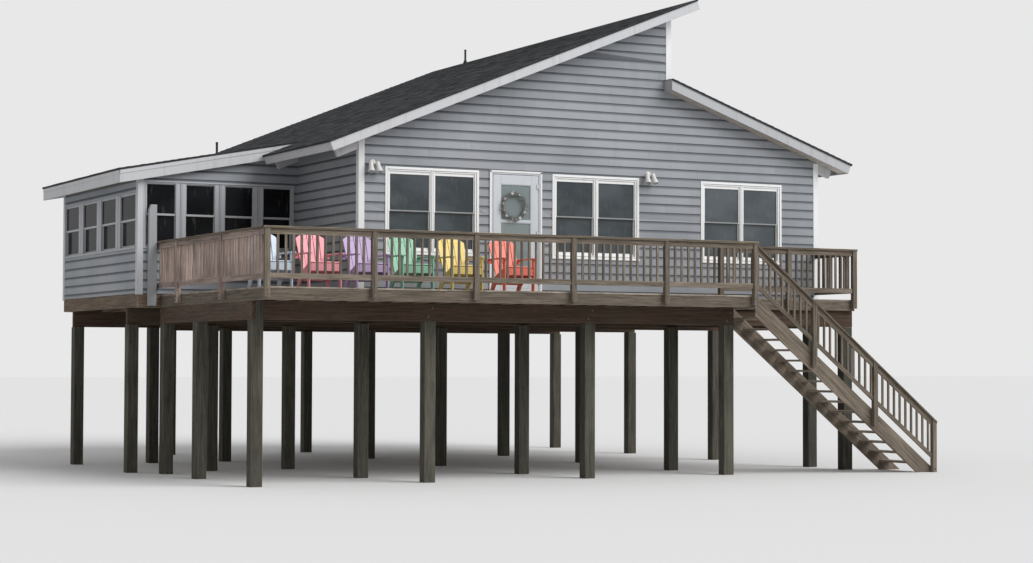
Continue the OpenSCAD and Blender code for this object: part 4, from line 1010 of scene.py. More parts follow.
subFloor = joinMeshes("subFloor", [
    floorCourses("mainSheets", "joist", sheet, *mainCorners, sheetTop, 66),
    floorCourses("wingSheets", "joist", sheet, *wingCorners, sheetTop, 67)])
addPiece("subfloor_sheets", subFloor, "joist")
print("floors")

# Corner boards, frieze boards, rafter stubs and fascias
trim, wingTrim, frieze, band = Boards(71), Boards(77), Boards(78), Boards(79)
edging = {"w": 0.090, "wingW": 0.088, "stubGap": 0.010, "wingDrop": 0.035, "friezeEnd": 0.091,
          "friezeLow": 2.445, "bandEnd": 0.003, "bandLow": 2.01}
boardW, wingBoardW, friezeEnd = edging["w"], edging["wingW"], edging["friezeEnd"]


def cornerBoard(shape, x, y, dx, dy, w, z0, endZ, sideZ):
    ox, oy, ex, ey = x - dx * boardT, y - dy * boardT, x + dx * w, y + dy * w
    shape.box((min(ox, ex), min(oy, y), z0), (max(ox, ex), max(oy, y), endZ), 0.003)
    shape.box((min(ox, x), min(y, ey), z0), (max(ox, x), max(y, ey), sideZ), 0.003)


def belowStubs(wallTop):
    return wallTop - roofT - stub["depth"] - edging["stubGap"]


for y, dy in ((mainF, 1), (mainB, -1)):
    leftZ, rightZ = mainTop(mainL - boardT) - roofT, rightTop(mainR + boardT) - soffit["depth"] - 0.001
    cornerBoard(trim, mainL, y, 1, dy, boardW, 0, leftZ, belowStubs(mainTop(mainL)))
    cornerBoard(trim, mainR, y, -1, dy, boardW, 0, rightZ, belowStubs(rightTop(mainR)))
    clereZ = mainTop(clereX - boardW) - roofT
    cornerBoard(trim, clereX, y, -1, dy, boardW, rightTop(clereX - boardW) + 0.009, clereZ, clereZ)
wingZ = wingTop(wingL) - roofT - edging["wingDrop"]
for y, dy in ((wingF, 1), (wingB, -1)):
    cornerBoard(wingTrim, wingL, y, 1, dy, wingBoardW, 0, wingZ, wingZ)
trim.piece("corner_trim", "trim", "white_trim", ["corner_boards"])
# the wing's corner boards take the greyer copy of the trim: painted shade
wingTrim.piece("wing_corner_trim", "greyTrim", "white_trim")
friezeTop = mainTop(mainL - boardT) - roofT - 0.002
for y0, y1 in ((mainF + friezeEnd, wingF - friezeEnd), (wingB + friezeEnd, mainB - friezeEnd)):
    frieze.box((mainL - boardT, y0, edging["friezeLow"]), (mainL, y1, friezeTop), 0.003)
frieze.piece("eave_frieze", "frieze", "siding")
# Board under the wing's left eave, dark partly as painted shadow under the eave
bandF, bandB = wingF + wingBoardW + edging["bandEnd"], wingB - wingBoardW - edging["bandEnd"]
bandTop = wingTop(wingL - boardT) - roofT - 0.002
band.box((wingL - boardT, bandF, edging["bandLow"]), (wingL, bandB, bandTop), 0.003)
band.piece("wing_eave_band", "band", "siding")

stubs = Boards(72)
for start, end in blocks("rafter_tails"):
    wall, tip, topOf = mainL, mainL - stub["left"], mainTop
    if start.x > mainL:
        wall, tip, topOf = mainR, mainR + stub["right"], rightTop
    dx, dz = squareCut(topOf(1) - topOf(0), stub["depth"])
    below, above = topOf(wall) - roofT, topOf(tip) - roofT
    outline = [(wall, below - stub["depth"]), (wall, below), (tip, above), (tip + dx, above + dz)]
    stubs.prism(outline, "y", start.y, end.y, 0.004, along=False)
stubs.piece("rafter_stubs", "fasciaPaint", "white_trim", ["rafter_tails"])


def rakeBoards(shape, x0, x1, topOf, depth, y, outward, cuts=(False, False), strip=False):
    lean = (topOf(x1) - topOf(x0)) / (x1 - x0)
    grain = (1 / math.hypot(1, lean), lean / math.hypot(1, lean))
    outer = y + outward * fasciaT
    layers = [(depth, y, outer)]
    if strip:  # a narrow upper strip stands proud of the board
        layers.append((depth * fascia["strip"], outer, outer + outward * fascia["proud"]))
    for deep, a, b in layers:
        lower = []
        for x, square in zip((x0, x1), cuts):
            dx, dz = squareCut(lean, deep) if square else (0, -deep)
            lower.append((x + dx, topOf(x) + dz))
        outline = lower + [(x1, topOf(x1)), (x0, topOf(x0))]
        shape.prism(outline, "y", min(a, b), max(a, b), 0.003, along=False, grain=grain)


def leaningBoard(shape, x, out, topOf, depth, y0, y1):
    lean = topOf(1) - topOf(0)
    dx, dz = squareCut(lean, depth)
    z = topOf(x)
    outline = [(x, z), (x + dx, z + dz), (x + dx + out, z + dz + lean * out), (x + out, z + lean * out)]
    shape.prism(outline, "y", y0, y1, 0.003)


mainFascia, rightFascia, wingFascia = Boards(73), Boards(74), Boards(75)
for y, rightY, outward in ((rakeF, rightRakeF, -1), (rakeB, rightRakeB, 1)):
    rakeBoards(mainFascia, eaveEdge, ridgeEdge, mainTop, fascia["main"], y, outward, (True, True))
    rakeBoards(rightFascia, wrapEdge, rightEdge, rightTop, fascia["right"], rightY, outward, (False, True))
leaningBoard(mainFascia, leftBoardX, -fasciaT, mainTop, fascia["eave"], rakeF + 0.001, wingRakeF - fasciaT)
leaningBoard(mainFascia, leftBoardX, -fasciaT, mainTop, fascia["eave"], wingRakeB + fasciaT, rakeB - 0.001)
leaningBoard(mainFascia, ridgeX, fasciaT, mainTop, fascia["eave"], rakeF + 0.001, rakeB - 0.001)
leaningBoard(rightFascia, rightBoardX, fasciaT, rightTop, fascia["right"], rightRakeF + 0.001,
             rightRakeB - 0.001)
wrapLow, wrapTop = rightTop(wrapX) - fascia["right"], rightTop(wrapX) + shingle["lift"] - 0.002
for y0, y1 in soffitEnds.values():
    rightFascia.box((wrapEdge, y0, wrapLow), (wrapX, y1, wrapTop), 0.003)
for y, outward in ((wingRakeF, -1), (wingRakeB, 1)):
    rakeBoards(wingFascia, wingEdge, mainL, wingTop, fascia["wing"], y, outward, strip=True)
wingEaveZ, stripX = wingTop(wingX), wingEdge - fascia["proud"]
for deep, x0, x1 in ((fascia["wing"], wingEdge, wingX), (fascia["wing"] * fascia["strip"], stripX, wingEdge)):
    wingFascia.box((x0, wingRakeF + 0.001, wingEaveZ - deep), (x1, wingRakeB - 0.001, wingEaveZ), 0.003)
mainFascia.piece("main_fascia_boards", "fasciaPaint", "white_trim", ["main_fascia"])
rightFascia.piece("right_fascia_boards", "rightFasciaPaint", "white_trim", ["right_fascia"])
wingFascia.piece("wing_fascia_boards", "fasciaPaint", "white_trim", ["wing_fascia"])
postLow, postHigh = low("end_post"), high("end_post")
endPost = Boards(76)
outline = [(postLow.x, postLow.z), (postHigh.x, postLow.z), (postHigh.x, postHigh.z),
           (postLow.x + 0.037, postHigh.z), (postLow.x, postHigh.z - 0.1)]  # its top is cut aslant
endPost.prism(outline, "y", postLow.y, postHigh.y, 0.005, along=False, grain=(0, 1))
# the end post takes the darker paint: painted shade
endPost.piece("end_post_timber", "postPaint", "white_trim", ["end_post"])
print("trim")

# Railings: each bay has two flat rails and square balusters between its posts, under a wide cap
rail = {"top": 0.946, "capT": 0.038, "capW": 0.140, "post": 0.089, "deep": 0.089, "t": 0.038, "gap": 0.119,
        "baluster": 0.036, "step": 0.129, "foot": -0.165, "bolts": (-0.055, -0.125)}
capLow = rail["top"] - rail["capT"]
subLow = capLow - rail["deep"]
postW = rail["post"]
railY = -postW / 2
capOut, capW = (rail["capW"] - postW) / 3, rail["capW"]
boltSpots = []


def placed(shape, x, y, degrees=0):
    shape.turn = Matrix.Translation((x, y, 0)) @ Matrix.Rotation(math.radians(degrees), 4, "Z")


def railBay(shape, length):
    count = max(1, round(length / rail["step"]) - 1)
    half, b = rail["t"] / 2, rail["baluster"] / 2
    shape.box((0, -half, subLow), (length, half, capLow), 0.003)
    shape.box((0, -half, rail["gap"]), (length, half, rail["gap"] + rail["deep"]), 0.003)
    for i in range(1, count + 1):
        x = i * length / (count + 1) + shape.random.uniform(-0.003, 0.003)
        shape.box((x - b, -b, rail["gap"] + rail["deep"]), (x + b, b, subLow), 0.003)


def railPost(shape, x, y, way="y"):  # a post on the deck's rim, with the heads of its two bolts
    shape.box((x, y, rail["foot"]), (x + postW, y + postW, capLow), 0.005)
    head = (x + postW / 2, y) if way == "y" else (x, y + postW / 2)
    boltSpots.extend(((*head, z), way) for z in rail["bolts"])


def railRun(shape, x, edge, step, bays):  # posts along X inside an edge line, and the bays between them
    for i in range(bays + 1):
        railPost(shape, x + i * step, edge - postW)
    for i in range(bays):
        placed(shape, x + i * step + postW, edge + railY)
        railBay(shape, step - postW)


frontRail, frontCap = Boards(81), Boards(82)
firstPost, lastPost, bays = -0.074, deckR + 0.010 - postW, 5
bayStep = (lastPost - firstPost) / bays
railRun(frontRail, firstPost, 0, bayStep, bays)
frontRail.turn = Matrix()
capY = -postW - capOut
joints = [capY, firstPost + 2 * bayStep + postW / 2, firstPost + 4 * bayStep + postW / 2, lastPost + postW]
for a, b in zip(joints, joints[1:]):
    frontCap.box((a + 0.001, capY, capLow), (b - 0.001, capY + capW, rail["top"]), 0.006)
frontRail.piece("front_rail_boards", "rail", "rail_timber", ["front_rail"])
frontCap.piece("front_rail_cap", "cap", "rail_timber", ["front_rail"])

leftRail, leftCap = Boards(83), Boards(84)
leftEnd = high("left_rail").y
sidePosts = [leftEnd * share / 5252 for share in (1935, 4140)]  # millimetres of the CAD's rail
ends = [0, sidePosts[0], sidePosts[0] + postW, sidePosts[1], sidePosts[1] + postW, leftEnd]
for y in sidePosts:
    railPost(leftRail, -postW, y, "x")
for i in (0, 2, 4):
    placed(leftRail, railY, ends[i], 90)
    railBay(leftRail, ends[i + 1] - ends[i])
capEnds = [capY + capW, sidePosts[0] + postW / 2, leftEnd]
for a, b in zip(capEnds, capEnds[1:]):
    leftCap.box((capY, a + 0.001, capLow), (capY + capW, b - 0.001, rail["top"]), 0.006)
leftRail.piece("left_rail_boards", "sideRail", "rail_timber", ["left_rail"])
leftCap.piece("left_rail_cap", "cap", "rail_timber", ["left_rail"])

walkRail, walkCap = Boards(85), Boards(86)
walkBays, walkEnd = 2, mainF - boardT
walkStep = (walkR - postW - deckR) / walkBays
railRun(walkRail, deckR, walkF, walkStep, walkBays)
placed(walkRail, walkR - postW / 2, walkF, 90)
railBay(walkRail, walkEnd - walkF)
walkCapY = walkF - postW - capOut
turnY = walkCapY + capW
walkCap.box((deckR, walkCapY, capLow), (walkR, turnY, rail["top"]), 0.006)
walkCap.box((walkR - capW + capOut, turnY + 0.001, capLow), (walkR + capOut, walkEnd, rail["top"]), 0.006)
walkRail.piece("walkway_rail_boards", "rail", "rail_timber", ["walkway_rail"])
walkCap.piece("walkway_rail_cap", "cap", "rail_timber", ["walkway_rail"])

# Stair with closed stringers, doubled tread boards and its own sloping rail
stair = {"risers": 17, "going": 0.235, "deep": 0.286, "rail": 0.886, "low": 0.130, "sub": 0.109,
         "foot": 0.300, "postIn": 0.150, "first": 0.123, "last": 0.1, "clear": 0.01, "bolt": (0.06, 0.16)}
rise = -ground / stair["risers"]
slope, run = rise / stair["going"], stair["risers"] * stair["going"]
slopeGrain = (1 / math.hypot(1, slope), -slope / math.hypot(1, slope))
stringers, treads = Boards(91), Boards(92)
for start, end in blocks("stair_stringers"):
    drop = stair["deep"] * math.hypot(1, slope)
    outline = [(deckR, 0), (deckR, -drop), (deckR + run - drop / slope, ground), (deckR + run, ground)]
    stringers.prism(outline, "y", start.y, end.y, 0.004, along=False, grain=slopeGrain)
for start, end in blocks("stair_treads"):
    half = (start.x + end.x) / 2
    treads.box(start, (half - 0.002, end.y, end.z), 0.004)
    treads.box((half + 0.002, start.y, start.z), (end.x, end.y, end.z), 0.004)
stringers.piece("stringer_boards", "rail", "rail_timber", ["stair_stringers"])
treads.piece("tread_boards", "deckBoard", "deck_boards", ["stair_treads"])


def stairLine(x):
    return -slope * (x - deckR)


def sloped(shape, x0, x1, z0, z1, y0, y1, bevel=0.003, upright=False):
    outline = slab(x0, x1, stairLine, z0, z1)
    shape.prism(outline, "y", y0, y1, bevel, along=False, grain=(0, 1) if upright else slopeGrain)


stairRail, stairCap = Boards(93), Boards(94)
postX = [deckR + i * run / 3 - stair["postIn"] for i in (1, 2, 3)]
x0, x1 = lastPost + postW, postX[-1] + postW
under = stair["rail"] - rail["capT"]
half, b = rail["t"] / 2, rail["baluster"]
lowTop, subFoot = stair["low"] + rail["deep"], under - stair["sub"]
sloped(stairCap, x0, x1, under, stair["rail"], capY, capY + capW, 0.006)
sloped(stairRail, x0, x1, subFoot, under, railY - half, railY + half)
sloped(stairRail, x0, x1, stair["low"], lowTop, railY - half, railY + half)
for x in postX:
    foot = max(ground, stairLine(x) - stair["foot"])
    nearZ, farZ = under + stairLine(x), under + stairLine(x + postW)
    outline = [(x, foot), (x + postW, foot), (x + postW, farZ), (x, nearZ)]
    stairRail.prism(outline, "y", -postW, 0, 0.005, along=False, grain=(0, 1))
    boltZ = max(ground + stair["bolt"][0], stairLine(x) - stair["bolt"][1])
    boltSpots.append(((x + postW / 2, -postW, boltZ), "y"))
x = x0 + stair["first"]
while x < x1 - stair["last"]:
    if all(x + b < p - stair["clear"] or x > p + postW + stair["clear"] for p in postX):
        sloped(stairRail, x, x + b, lowTop, subFoot, railY - b / 2, railY + b / 2, upright=True)
    x += rail["step"]
stairRail.piece("stair_rail_boards", "rail", "rail_timber", ["stair_rail"])
stairCap.piece("stair_rail_cap", "cap", "rail_timber", ["stair_rail"])
print("rails and stair")

# Windows: a flat casing, a groove, then the frame and its two sashes, the lower one set deeper
sash = {"groove": 0.007, "stile": 0.022, "strip": 0.012, "upperY": (0.002, 0.032), "lowerY": (0.034, 0.064),
        "pane": 0.003, "bite": 0.004, "gasket": 0.005}  # half a pane's thickness, its hold in the frame


def ring(shape, x0, z0, x1, z1, left, right, head, y0, y1, bevel=0.002):
    shape.box((x0, y0, z0), (x0 + left, y1, z1), bevel, run="z")
    shape.box((x1 - right, y0, z0), (x1, y1, z1), bevel, run="z")
    shape.box((x0 + left + 0.0004, y0, z0), (x1 - right - 0.0004, y1, z0 + head), bevel, run="x")
    shape.box((x0 + left + 0.0004, y0, z1 - head), (x1 - right - 0.0004, y1, z1), bevel, run="x")


def fullWindow(shapes, w, h, lites, side, head, bar, depth, meet, shade):
    white, dark, glass, shadedRail = shapes
    casing, groove, stile, strip = side * 0.45, sash["groove"], min(sash["stile"], side * 0.2), sash["strip"]
    liteW, inner = (w - 2 * side - (lites - 1) * bar) / lites, casing + groove
    ring(white, 0, 0, w, h, casing, casing, casing, -0.025, -0.001, 0.003)
    white.box((-0.006, -0.036, -0.004), (w + 0.006, -0.001, 0.024), 0.003)  # sill nosing
    base, top, middle, railH = inner + stile, h - inner - stile, h / 2, head - inner - stile
    # the upper sash's bottom rail, the meeting rail, is drawn apart in a greyer paint: painted shade
    sashes = ((shadedRail, sash["upperY"], middle - meet / 2, top, meet, railH),
              (white, sash["lowerY"], base, middle + meet / 2, railH, meet))
    half, bite, bead = sash["pane"], sash["bite"], sash["gasket"]
    for i in range(lites):
        a, b = side + i * (liteW + bar), side + i * (liteW + bar) + liteW
        left = inner if i == 0 else a - bar / 2 + strip + groove
        right = w - inner if i == lites - 1 else b + bar / 2 - strip - groove
        ring(white, left, inner, right, h - inner, a - left - stile, right - b - stile, stile, -0.016,
             depth * 0.55)
        if i < lites - 1:
            post = b + bar / 2
            white.box((post - strip, -0.021, inner), (post + strip, depth * 0.5, h - inner), 0.002)
            # dark strips in the grooves beside each mullion: painted shade
            for x in (post - strip - groove, post + strip):
                dark.box((x, -0.008, inner), (x + groove, 0.0, h - inner), 0.0005)
        for shape, (y0, y1), z0, z1, low0, high0 in sashes:
            mid, paneLow, paneTop = (y0 + y1) / 2, z0 + low0, z1 - high0
            white.box((a - stile, y0, z0), (a, y1, z1), 0.002)
            white.box((b, y0, z0), (b + stile, y1, z1), 0.002)
            shape.box((a, y0, z0), (b, y1, paneLow), 0.002)
            white.box((a, y0, paneTop), (b, y1, z1), 0.002)
            glass.box((a - bite, mid - half, paneLow - bite), (b + bite, mid + half, paneTop + bite), 0.0005,
                      run="z", tone=shade + i * 0.06)
            for x in (a, b - bead):
                dark.box((x, y0 + 0.004, paneLow), (x + bead, mid - half, paneTop), 0.0005)
            dark.box((a, y0 + 0.004, paneTop - 0.006), (b, mid - half, paneTop), 0.0005)
        lockX, lockY = (a + b) / 2, sash["lowerY"][0]
        white.box((lockX - 0.03, lockY - 0.006, middle - 0.005), (lockX + 0.03, lockY + 0.01, middle + 0.014),
                  0.002)
    # a dark ring in the groove between casing and frame: painted shade
    ring(dark, casing, casing, w - casing, h - casing, groove, groove, groove, -0.010, 0.0, 0.0005)


def windowSet(name, places, replaced, glassReplaced, paint, railPaint, glassName, seed):
    shapes = [Boards(seed + i) for i in range(4)]
    for (x, y, z), degrees, shade, settings in places:
        for shape in shapes:
            shape.turn = Matrix.Translation((x, y, z)) @ Matrix.Rotation(math.radians(degrees), 4, "Z")
        fullWindow(shapes, *settings, shade)
    shapes[0].piece(name + "_frames", paint, "window_frame", [replaced])
    shapes[1].piece(name + "_gaskets", "gasket", "window_frame")
    shapes[2].piece(name + "_panes", glassName, "window_glass", [glassReplaced])
    shapes[3].piece(name + "_meeting_rails", railPaint, "window_frame")


twin = (winW, winH, 2, windows["side"], windows["head"], windows["bar"], wallT, 0.024)
bottom = windows["bottom"]
wx0, wx1 = wingWindows["frontX"]
wz0, wz1 = wingWindows["frontZ"]
wy0, wy1 = wingWindows["leftY"]
lz0, lz1 = wingWindows["leftZ"]
wingT, wingHead, wingMeet = 0.09, 0.065, 0.036
wide = (wx1 - wx0, wz1 - wz0, 4, 0.065, wingHead, 0.215, wingT, wingMeet)
narrow = (wy1 - wy0, lz1 - lz0, 4, 0.042, wingHead, 0.290, wingT, wingMeet)
# the third number of each window sets how far its panes turn to the painted reflection colour
frontSet = [((x, mainF, bottom), 0, shade, twin) for x, shade in zip(windows["front"], (0.12, 0.2, 0.8))]
backSet = [((x + winW, mainB, bottom), 180, 0.4, twin) for x in windows["back"]]
rightSet = [((mainR, y, bottom), 90, 0.5, twin) for y in windows["right"]]
wingSet = [((wx0, wingF, wz0), 0, 0.0, wide), ((wx1, wingB, wz0), 180, 0.3, wide),
           ((wingL, wy1, lz0), -90, 0.1, narrow)]
windowSet("front", frontSet, "front_windows", "front_glass", "vinyl", "sashRail", "glass", 101)
windowSet("rear", backSet + rightSet, "rear_windows", "rear_glass", "vinyl", "sashRail", "glass", 111)
# the wing's frames and meeting rails take the greyer vinyl: painted shade
windowSet("wing", wingSet, "wing_windows", "wing_glass", "wingVinyl", "wingVinyl", "wingGlass", 121)
print("windows")

# Door: moulded frame, a full-view leaf with two panes, hinges and a lever handle
jambW, leafT, hingeH, stile = door["jamb"], door["leafT"], door["hingeH"], door["stile"]
doorL, doorR = door["x"]
leafL, leafR = doorL + door["margin"], doorR - door["margin"]
leafF, leafLow, leafTop = mainF - door["front"], floorZ + 0.038, door["top"] - door["margin"]
leafB, sillZ = leafF + leafT, floorZ + door["sill"]
hingeX, hingeY = leafR + 0.004, leafF - 0.012
hingeZ = [leafLow + door["hingeIn"], (leafLow + leafTop - hingeH) / 2, leafTop - door["hingeIn"] - hingeH]
doorBack, headZ = mainF + wallT, door["top"] - jambW
case, jamb = Boards(111), Boards(117)
jamb.box((doorL, leafF, floorZ), (doorL + jambW, doorBack, door["top"]), 0.003)
jamb.box((doorR - jambW, leafF, floorZ), (doorR, doorBack, door["top"]), 0.003)
jamb.box((doorL + jambW + 0.0005, leafF, headZ), (doorR - jambW - 0.0005, doorBack, door["top"]), 0.003,
         run="x")
for x in (doorL - 0.004, doorR - 0.034):  # the outer band of the casing
    case.box((x, leafF - 0.012, floorZ), (x + 0.038, leafF, door["top"]), 0.004)
case.box((doorL - 0.004, leafF - 0.012, door["top"] - 0.034), (doorR + 0.004, leafF, door["top"] + 0.004),
         0.004)
for x in (doorL + jambW, doorR - jambW - 0.012):  # stops behind the leaf
    jamb.box((x, leafB + 0.004, sillZ), (x + 0.012, leafB + 0.03, headZ), 0.002)
case.piece("door_casing", "trim", "white_trim", ["door_frame"])
jamb.piece("door_jambs", "leafPaint", "white_trim")
sill, knuckles = Boards(112), Boards(118)
outline = [(leafF - 0.012, floorZ), (doorBack, floorZ), (doorBack, sillZ), (leafB, sillZ),
           (leafF - 0.012, floorZ + 0.012)]
sill.prism(outline, "x", doorL + jambW + 0.0005, doorR - jambW - 0.0005, 0.002, along=False)
for z in hingeZ:
    for a in (z - 0.023, z + hingeH + 0.005):
        knuckles.box((hingeX - 0.001, hingeY - 0.004, a), (hingeX + 0.030, leafF, a + 0.018), 0.001)
        knuckles.round((hingeX, hingeY), 0.0075, a, a + 0.018)
    knuckles.round((hingeX, hingeY), 0.004, z - 0.024, z + hingeH + 0.024, sides=12, bevel=0.001)
sill.piece("door_sill", "metal", "white_trim")
knuckles.piece("hinge_knuckles", "leafPaint", "white_trim")

leaf, leafGlass, hinges = Boards(113), Boards(114), Boards(115)
kickTop, upper = leafLow + door["kick"], leafTop - door["topRail"]
midLow, midTop = door["midZ"], door["midZ"] + door["midH"]
for x in (leafL, leafR - stile):
    leaf.box((x, leafF, leafLow), (x + stile, leafB, leafTop), 0.003, run="z")
inL, inR, bead = leafL + stile, leafR - stile, door["bead"]
for a, b in ((leafLow, kickTop), (midLow, midTop), (upper, leafTop)):
    leaf.box((inL + 0.0004, leafF, a), (inR - 0.0004, leafB, b), 0.003, run="x")
for a, b in ((kickTop, midLow), (midTop, upper)):
    beads = (((inL, a), (inL + bead, b)), ((inR - bead, a), (inR, b)),
             ((inL + bead, a), (inR - bead, a + bead)), ((inL + bead, b - bead), (inR - bead, b)))
    for y0, y1 in ((leafF + 0.004, leafF + 0.014), (leafB - 0.014, leafB - 0.004)):
        for (beadX0, beadZ0), (beadX1, beadZ1) in beads:
            leaf.box((beadX0, y0, beadZ0), (beadX1, y1, beadZ1), 0.002)
    leafGlass.box((inL, leafF + 0.016, a), (inR, leafF + 0.024, b), 0.0005, run="z")
panelZ = leafLow + 0.05, kickTop - 0.05
leaf.box((inL + 0.05, leafF - 0.004, panelZ[0]), (inR - 0.05, leafF, panelZ[1]), 0.003)  # raised kick panel
leaf.piece("door_leaf_boards", "leafPaint", "door_paint", ["door_leaf"], "door")
leafGlass.piece("door_panes", "doorGlass", "window_glass", ["door_glass"], "door")
for z in hingeZ:
    hinges.round((hingeX, hingeY), 0.008, z, z + hingeH, sides=16, bevel=0.001)
    hinges.box((hingeX - 0.040, hingeY - 0.002, z), (hingeX, hingeY + 0.002, z + hingeH), 0.001)
    hinges.box((hingeX - 0.040, hingeY, z), (hingeX - 0.020, leafF, z + hingeH), 0.001)
hinges.piece("door_hinges", "leafPaint", "door_paint", (), "door")
handleX, handleZ = leafL + door["handleX"], door["handleZ"]
handle = Boards(116)
handle.box((handleX - 0.018, leafF - 0.006, handleZ - 0.070), (handleX + 0.018, leafF, handleZ + 0.070),
           0.0025)
handle.round((handleX, handleZ), 0.013, leafF - 0.022, leafF - 0.006, "y", 20, 0.002)
handle.round((handleX, handleZ), 0.009, leafF - 0.058, leafF - 0.022, "y", 16, 0.001)
lever = [(-0.009, -0.009), (0.060, -0.006), (0.098, -0.011), (0.100, 0.001), (0.060, 0.009), (-0.009, 0.009)]
outline = [(handleX + u, handleZ + v) for u, v in lever]
handle.prism(outline, "y", leafF - 0.058, leafF - 0.044, 0.003, along=False)
handle.round((handleX, handleZ - 0.045), 0.007, leafF - 0.010, leafF - 0.006, "y", 12, 0.001)
handle.piece("door_lever", "blackMetal", "handle_metal", ["door_handle"], "door")
print("door")

# Wreath of bent twigs with pale starfish, laid by nodes round a circle
wreath = {
    "x": (leafL + leafR) / 2 - 0.055, "z": 1.595, "radius": 0.230, "tube": 0.046, "twigs": 240,
    "twig": {"bend": 0.055, "flat": 0.6, "thick": 0.0026, "sides": 5, "angles": (-0.9, -0.45, 0, 0.45, 0.9)},
    "stars": ((102, 0.046), (146, 0.034), (168, 0.030), (226, 0.036), (258, 0.024), (298, 0.046),
              (334, 0.048), (64, 0.026), (198, 0.022), (278, 0.020), (352, 0.020)),  # degrees round, a size
}


def twigPiece():
    twig = wreath["twig"]
    bend, sides, count = twig["bend"], twig["sides"], len(twig["angles"])
    points = [Vector((bend * math.sin(a), 0, bend * (1 - math.cos(a)) * twig["flat"]))
              for a in twig["angles"]]
    spots = []
    for i, p in enumerate(points):
        r = twig["thick"] * (1 - 0.5 * abs(i - 2) / 2)
        turned = [k * 2 * math.pi / sides for k in range(sides)]
        spots += [p + Vector((0, r * math.cos(a), r * math.sin(a))) for a in turned]
    faces = []
    for i in range(count - 1):
        for k in range(sides):
            j = (k + 1) % sides
            faces.append(((i + 1) * sides + k, (i + 1) * sides + j, i * sides + j, i * sides + k))
    faces += [tuple(range(sides)), tuple(range(count * sides - 1, (count - 1) * sides - 1, -1))]
    mesh = bpy.data.meshes.new("twig")
    mesh.from_pydata(spots, [], faces)
    mesh.flip_normals()
    return addHidden("twig", mesh)


def wreathGroup():
    t, keys = newGroup("wreath", {
        "Piece": "Object", "Material": "Material", "Count": "Int", "Radius": "Float", "Spread": "Float",
        "Lean": "Float", "Least": "Float", "Most": "Float", "Seed": "Int", "Place": "Vector"})
    given = t.node("NodeGroupInput")
    index = t.node("GeometryNodeInputIndex")
    turn = (index + t.random(-0.5, 0.5, index, given["Seed"])) / given["Count"] * (2 * math.pi)
    wander = t.random(0.0, 2 * math.pi, index, given["Seed"] + 1)
    away = t.random(0.0, 1.0, index, given["Seed"] + 2) * given["Spread"]
    reach = given["Radius"] + away * wander.maths("COSINE")
    spot = t.vector(reach * turn.maths("COSINE"), away * wander.maths("SINE"), reach * turn.maths("SINE"))
    points = t.node("GeometryNodePoints", {}, {"Count": given["Count"], "Position": spot})
    lean = t.random(-1.0, 1.0, index, given["Seed"] + 3) * given["Lean"]
    tip = t.random(-1.0, 1.0, index, given["Seed"] + 4) * given["Lean"]
    size = t.random(given["Least"], given["Most"], index, given["Seed"] + 6)
    shape = {"Rotation": t.vector(lean, 0 - turn - math.pi / 2 + tip, tip),
             "Scale": t.vector(size, size, size)}
    real = t.layPieces(given, points, shape, 7)
    t.close(given, t.node("GeometryNodeTransform", {}, {"Geometry": real, "Translation": given["Place"]}))
    return t, keys


twigs = grow("twigs", bpy.data.meshes.new("twigsCarrier"), wreathGroup(), {
    "Piece": twigPiece(), "Material": materials["twig"], "Count": wreath["twigs"], "Radius": wreath["radius"],
    "Spread": wreath["tube"], "Lean": 1.0, "Least": 0.5, "Most": 1.7, "Seed": 3,
    "Place": Vector((wreath["x"], leafF - 0.036, wreath["z"])) + origin})
addPiece("wreath_twigs", twigs, "twig", ["door_wreath"], "door")
stars = Boards(121)
base = [(0.0, 0.0, 0.0), (0.30, 0.22, 0.0), (0.72, 0.10, 0.0), (1.0, 0.0, 0.0), (0.72, -0.10, 0.0),
        (0.30, -0.22, 0.0)]
ridge = [(0.0, 0.0, -0.22), (0.45, 0.0, -0.16), (0.95, 0.0, -0.03)]
armFaces = ((0, 1, 7, 6), (1, 2, 8, 7), (2, 3, 8), (3, 4, 8), (4, 5, 7, 8), (5, 0, 6, 7), (0, 5, 4, 3, 2, 1))
for degrees, size in wreath["stars"]:
    a, radius = math.radians(degrees), wreath["radius"]
    spot = (wreath["x"] + radius * math.cos(a), leafF - 0.058, wreath["z"] + radius * math.sin(a))
    spin, nod = stars.random.uniform(0, 2), stars.random.uniform(-0.4, 0.4)
    stars.turn = Matrix.Translation(spot) @ Matrix.Rotation(spin, 4, "Y") @ Matrix.Rotation(nod, 4, "X")
    for k in range(5):  # five tapering arms, each a ridge over a flat base
        turned = math.radians(72 * k)
        u, v = (math.cos(turned), math.sin(turned)), (-math.sin(turned), math.cos(turned))
        first = len(stars.points)
        for p, q, r in base + ridge:
            corner = ((p * u[0] + q * v[0]) * size, r * size, (p * u[1] + q * v[1]) * size)
            stars.points.append(stars.turn @ Vector(corner))
        for face in armFaces:
            stars.addFace([first + i for i in face[::-1]], [(0.0, 0.0)] * len(face))
        stars.tone += [stars.random.random()] * (len(stars.points) - first)
stars.piece("wreath_stars", "star", "wreath", (), "door")
hook = Boards(122)
hookL, hookR, hookZ = wreath["x"] - 0.012, wreath["x"] + 0.012, wreath["z"] + wreath["radius"]
hook.box((hookL, leafF - 0.004, hookZ - 0.03), (hookR, leafF + 0.016, hookZ + 0.05), 0.002)
hook.box((hookL, leafF - 0.034, hookZ - 0.008), (hookR, leafF - 0.002, hookZ + 0.004), 0.002)
hook.piece("wreath_hook", "metal", "wreath", (), "door")
print("wreath", len(twigs.vertices))

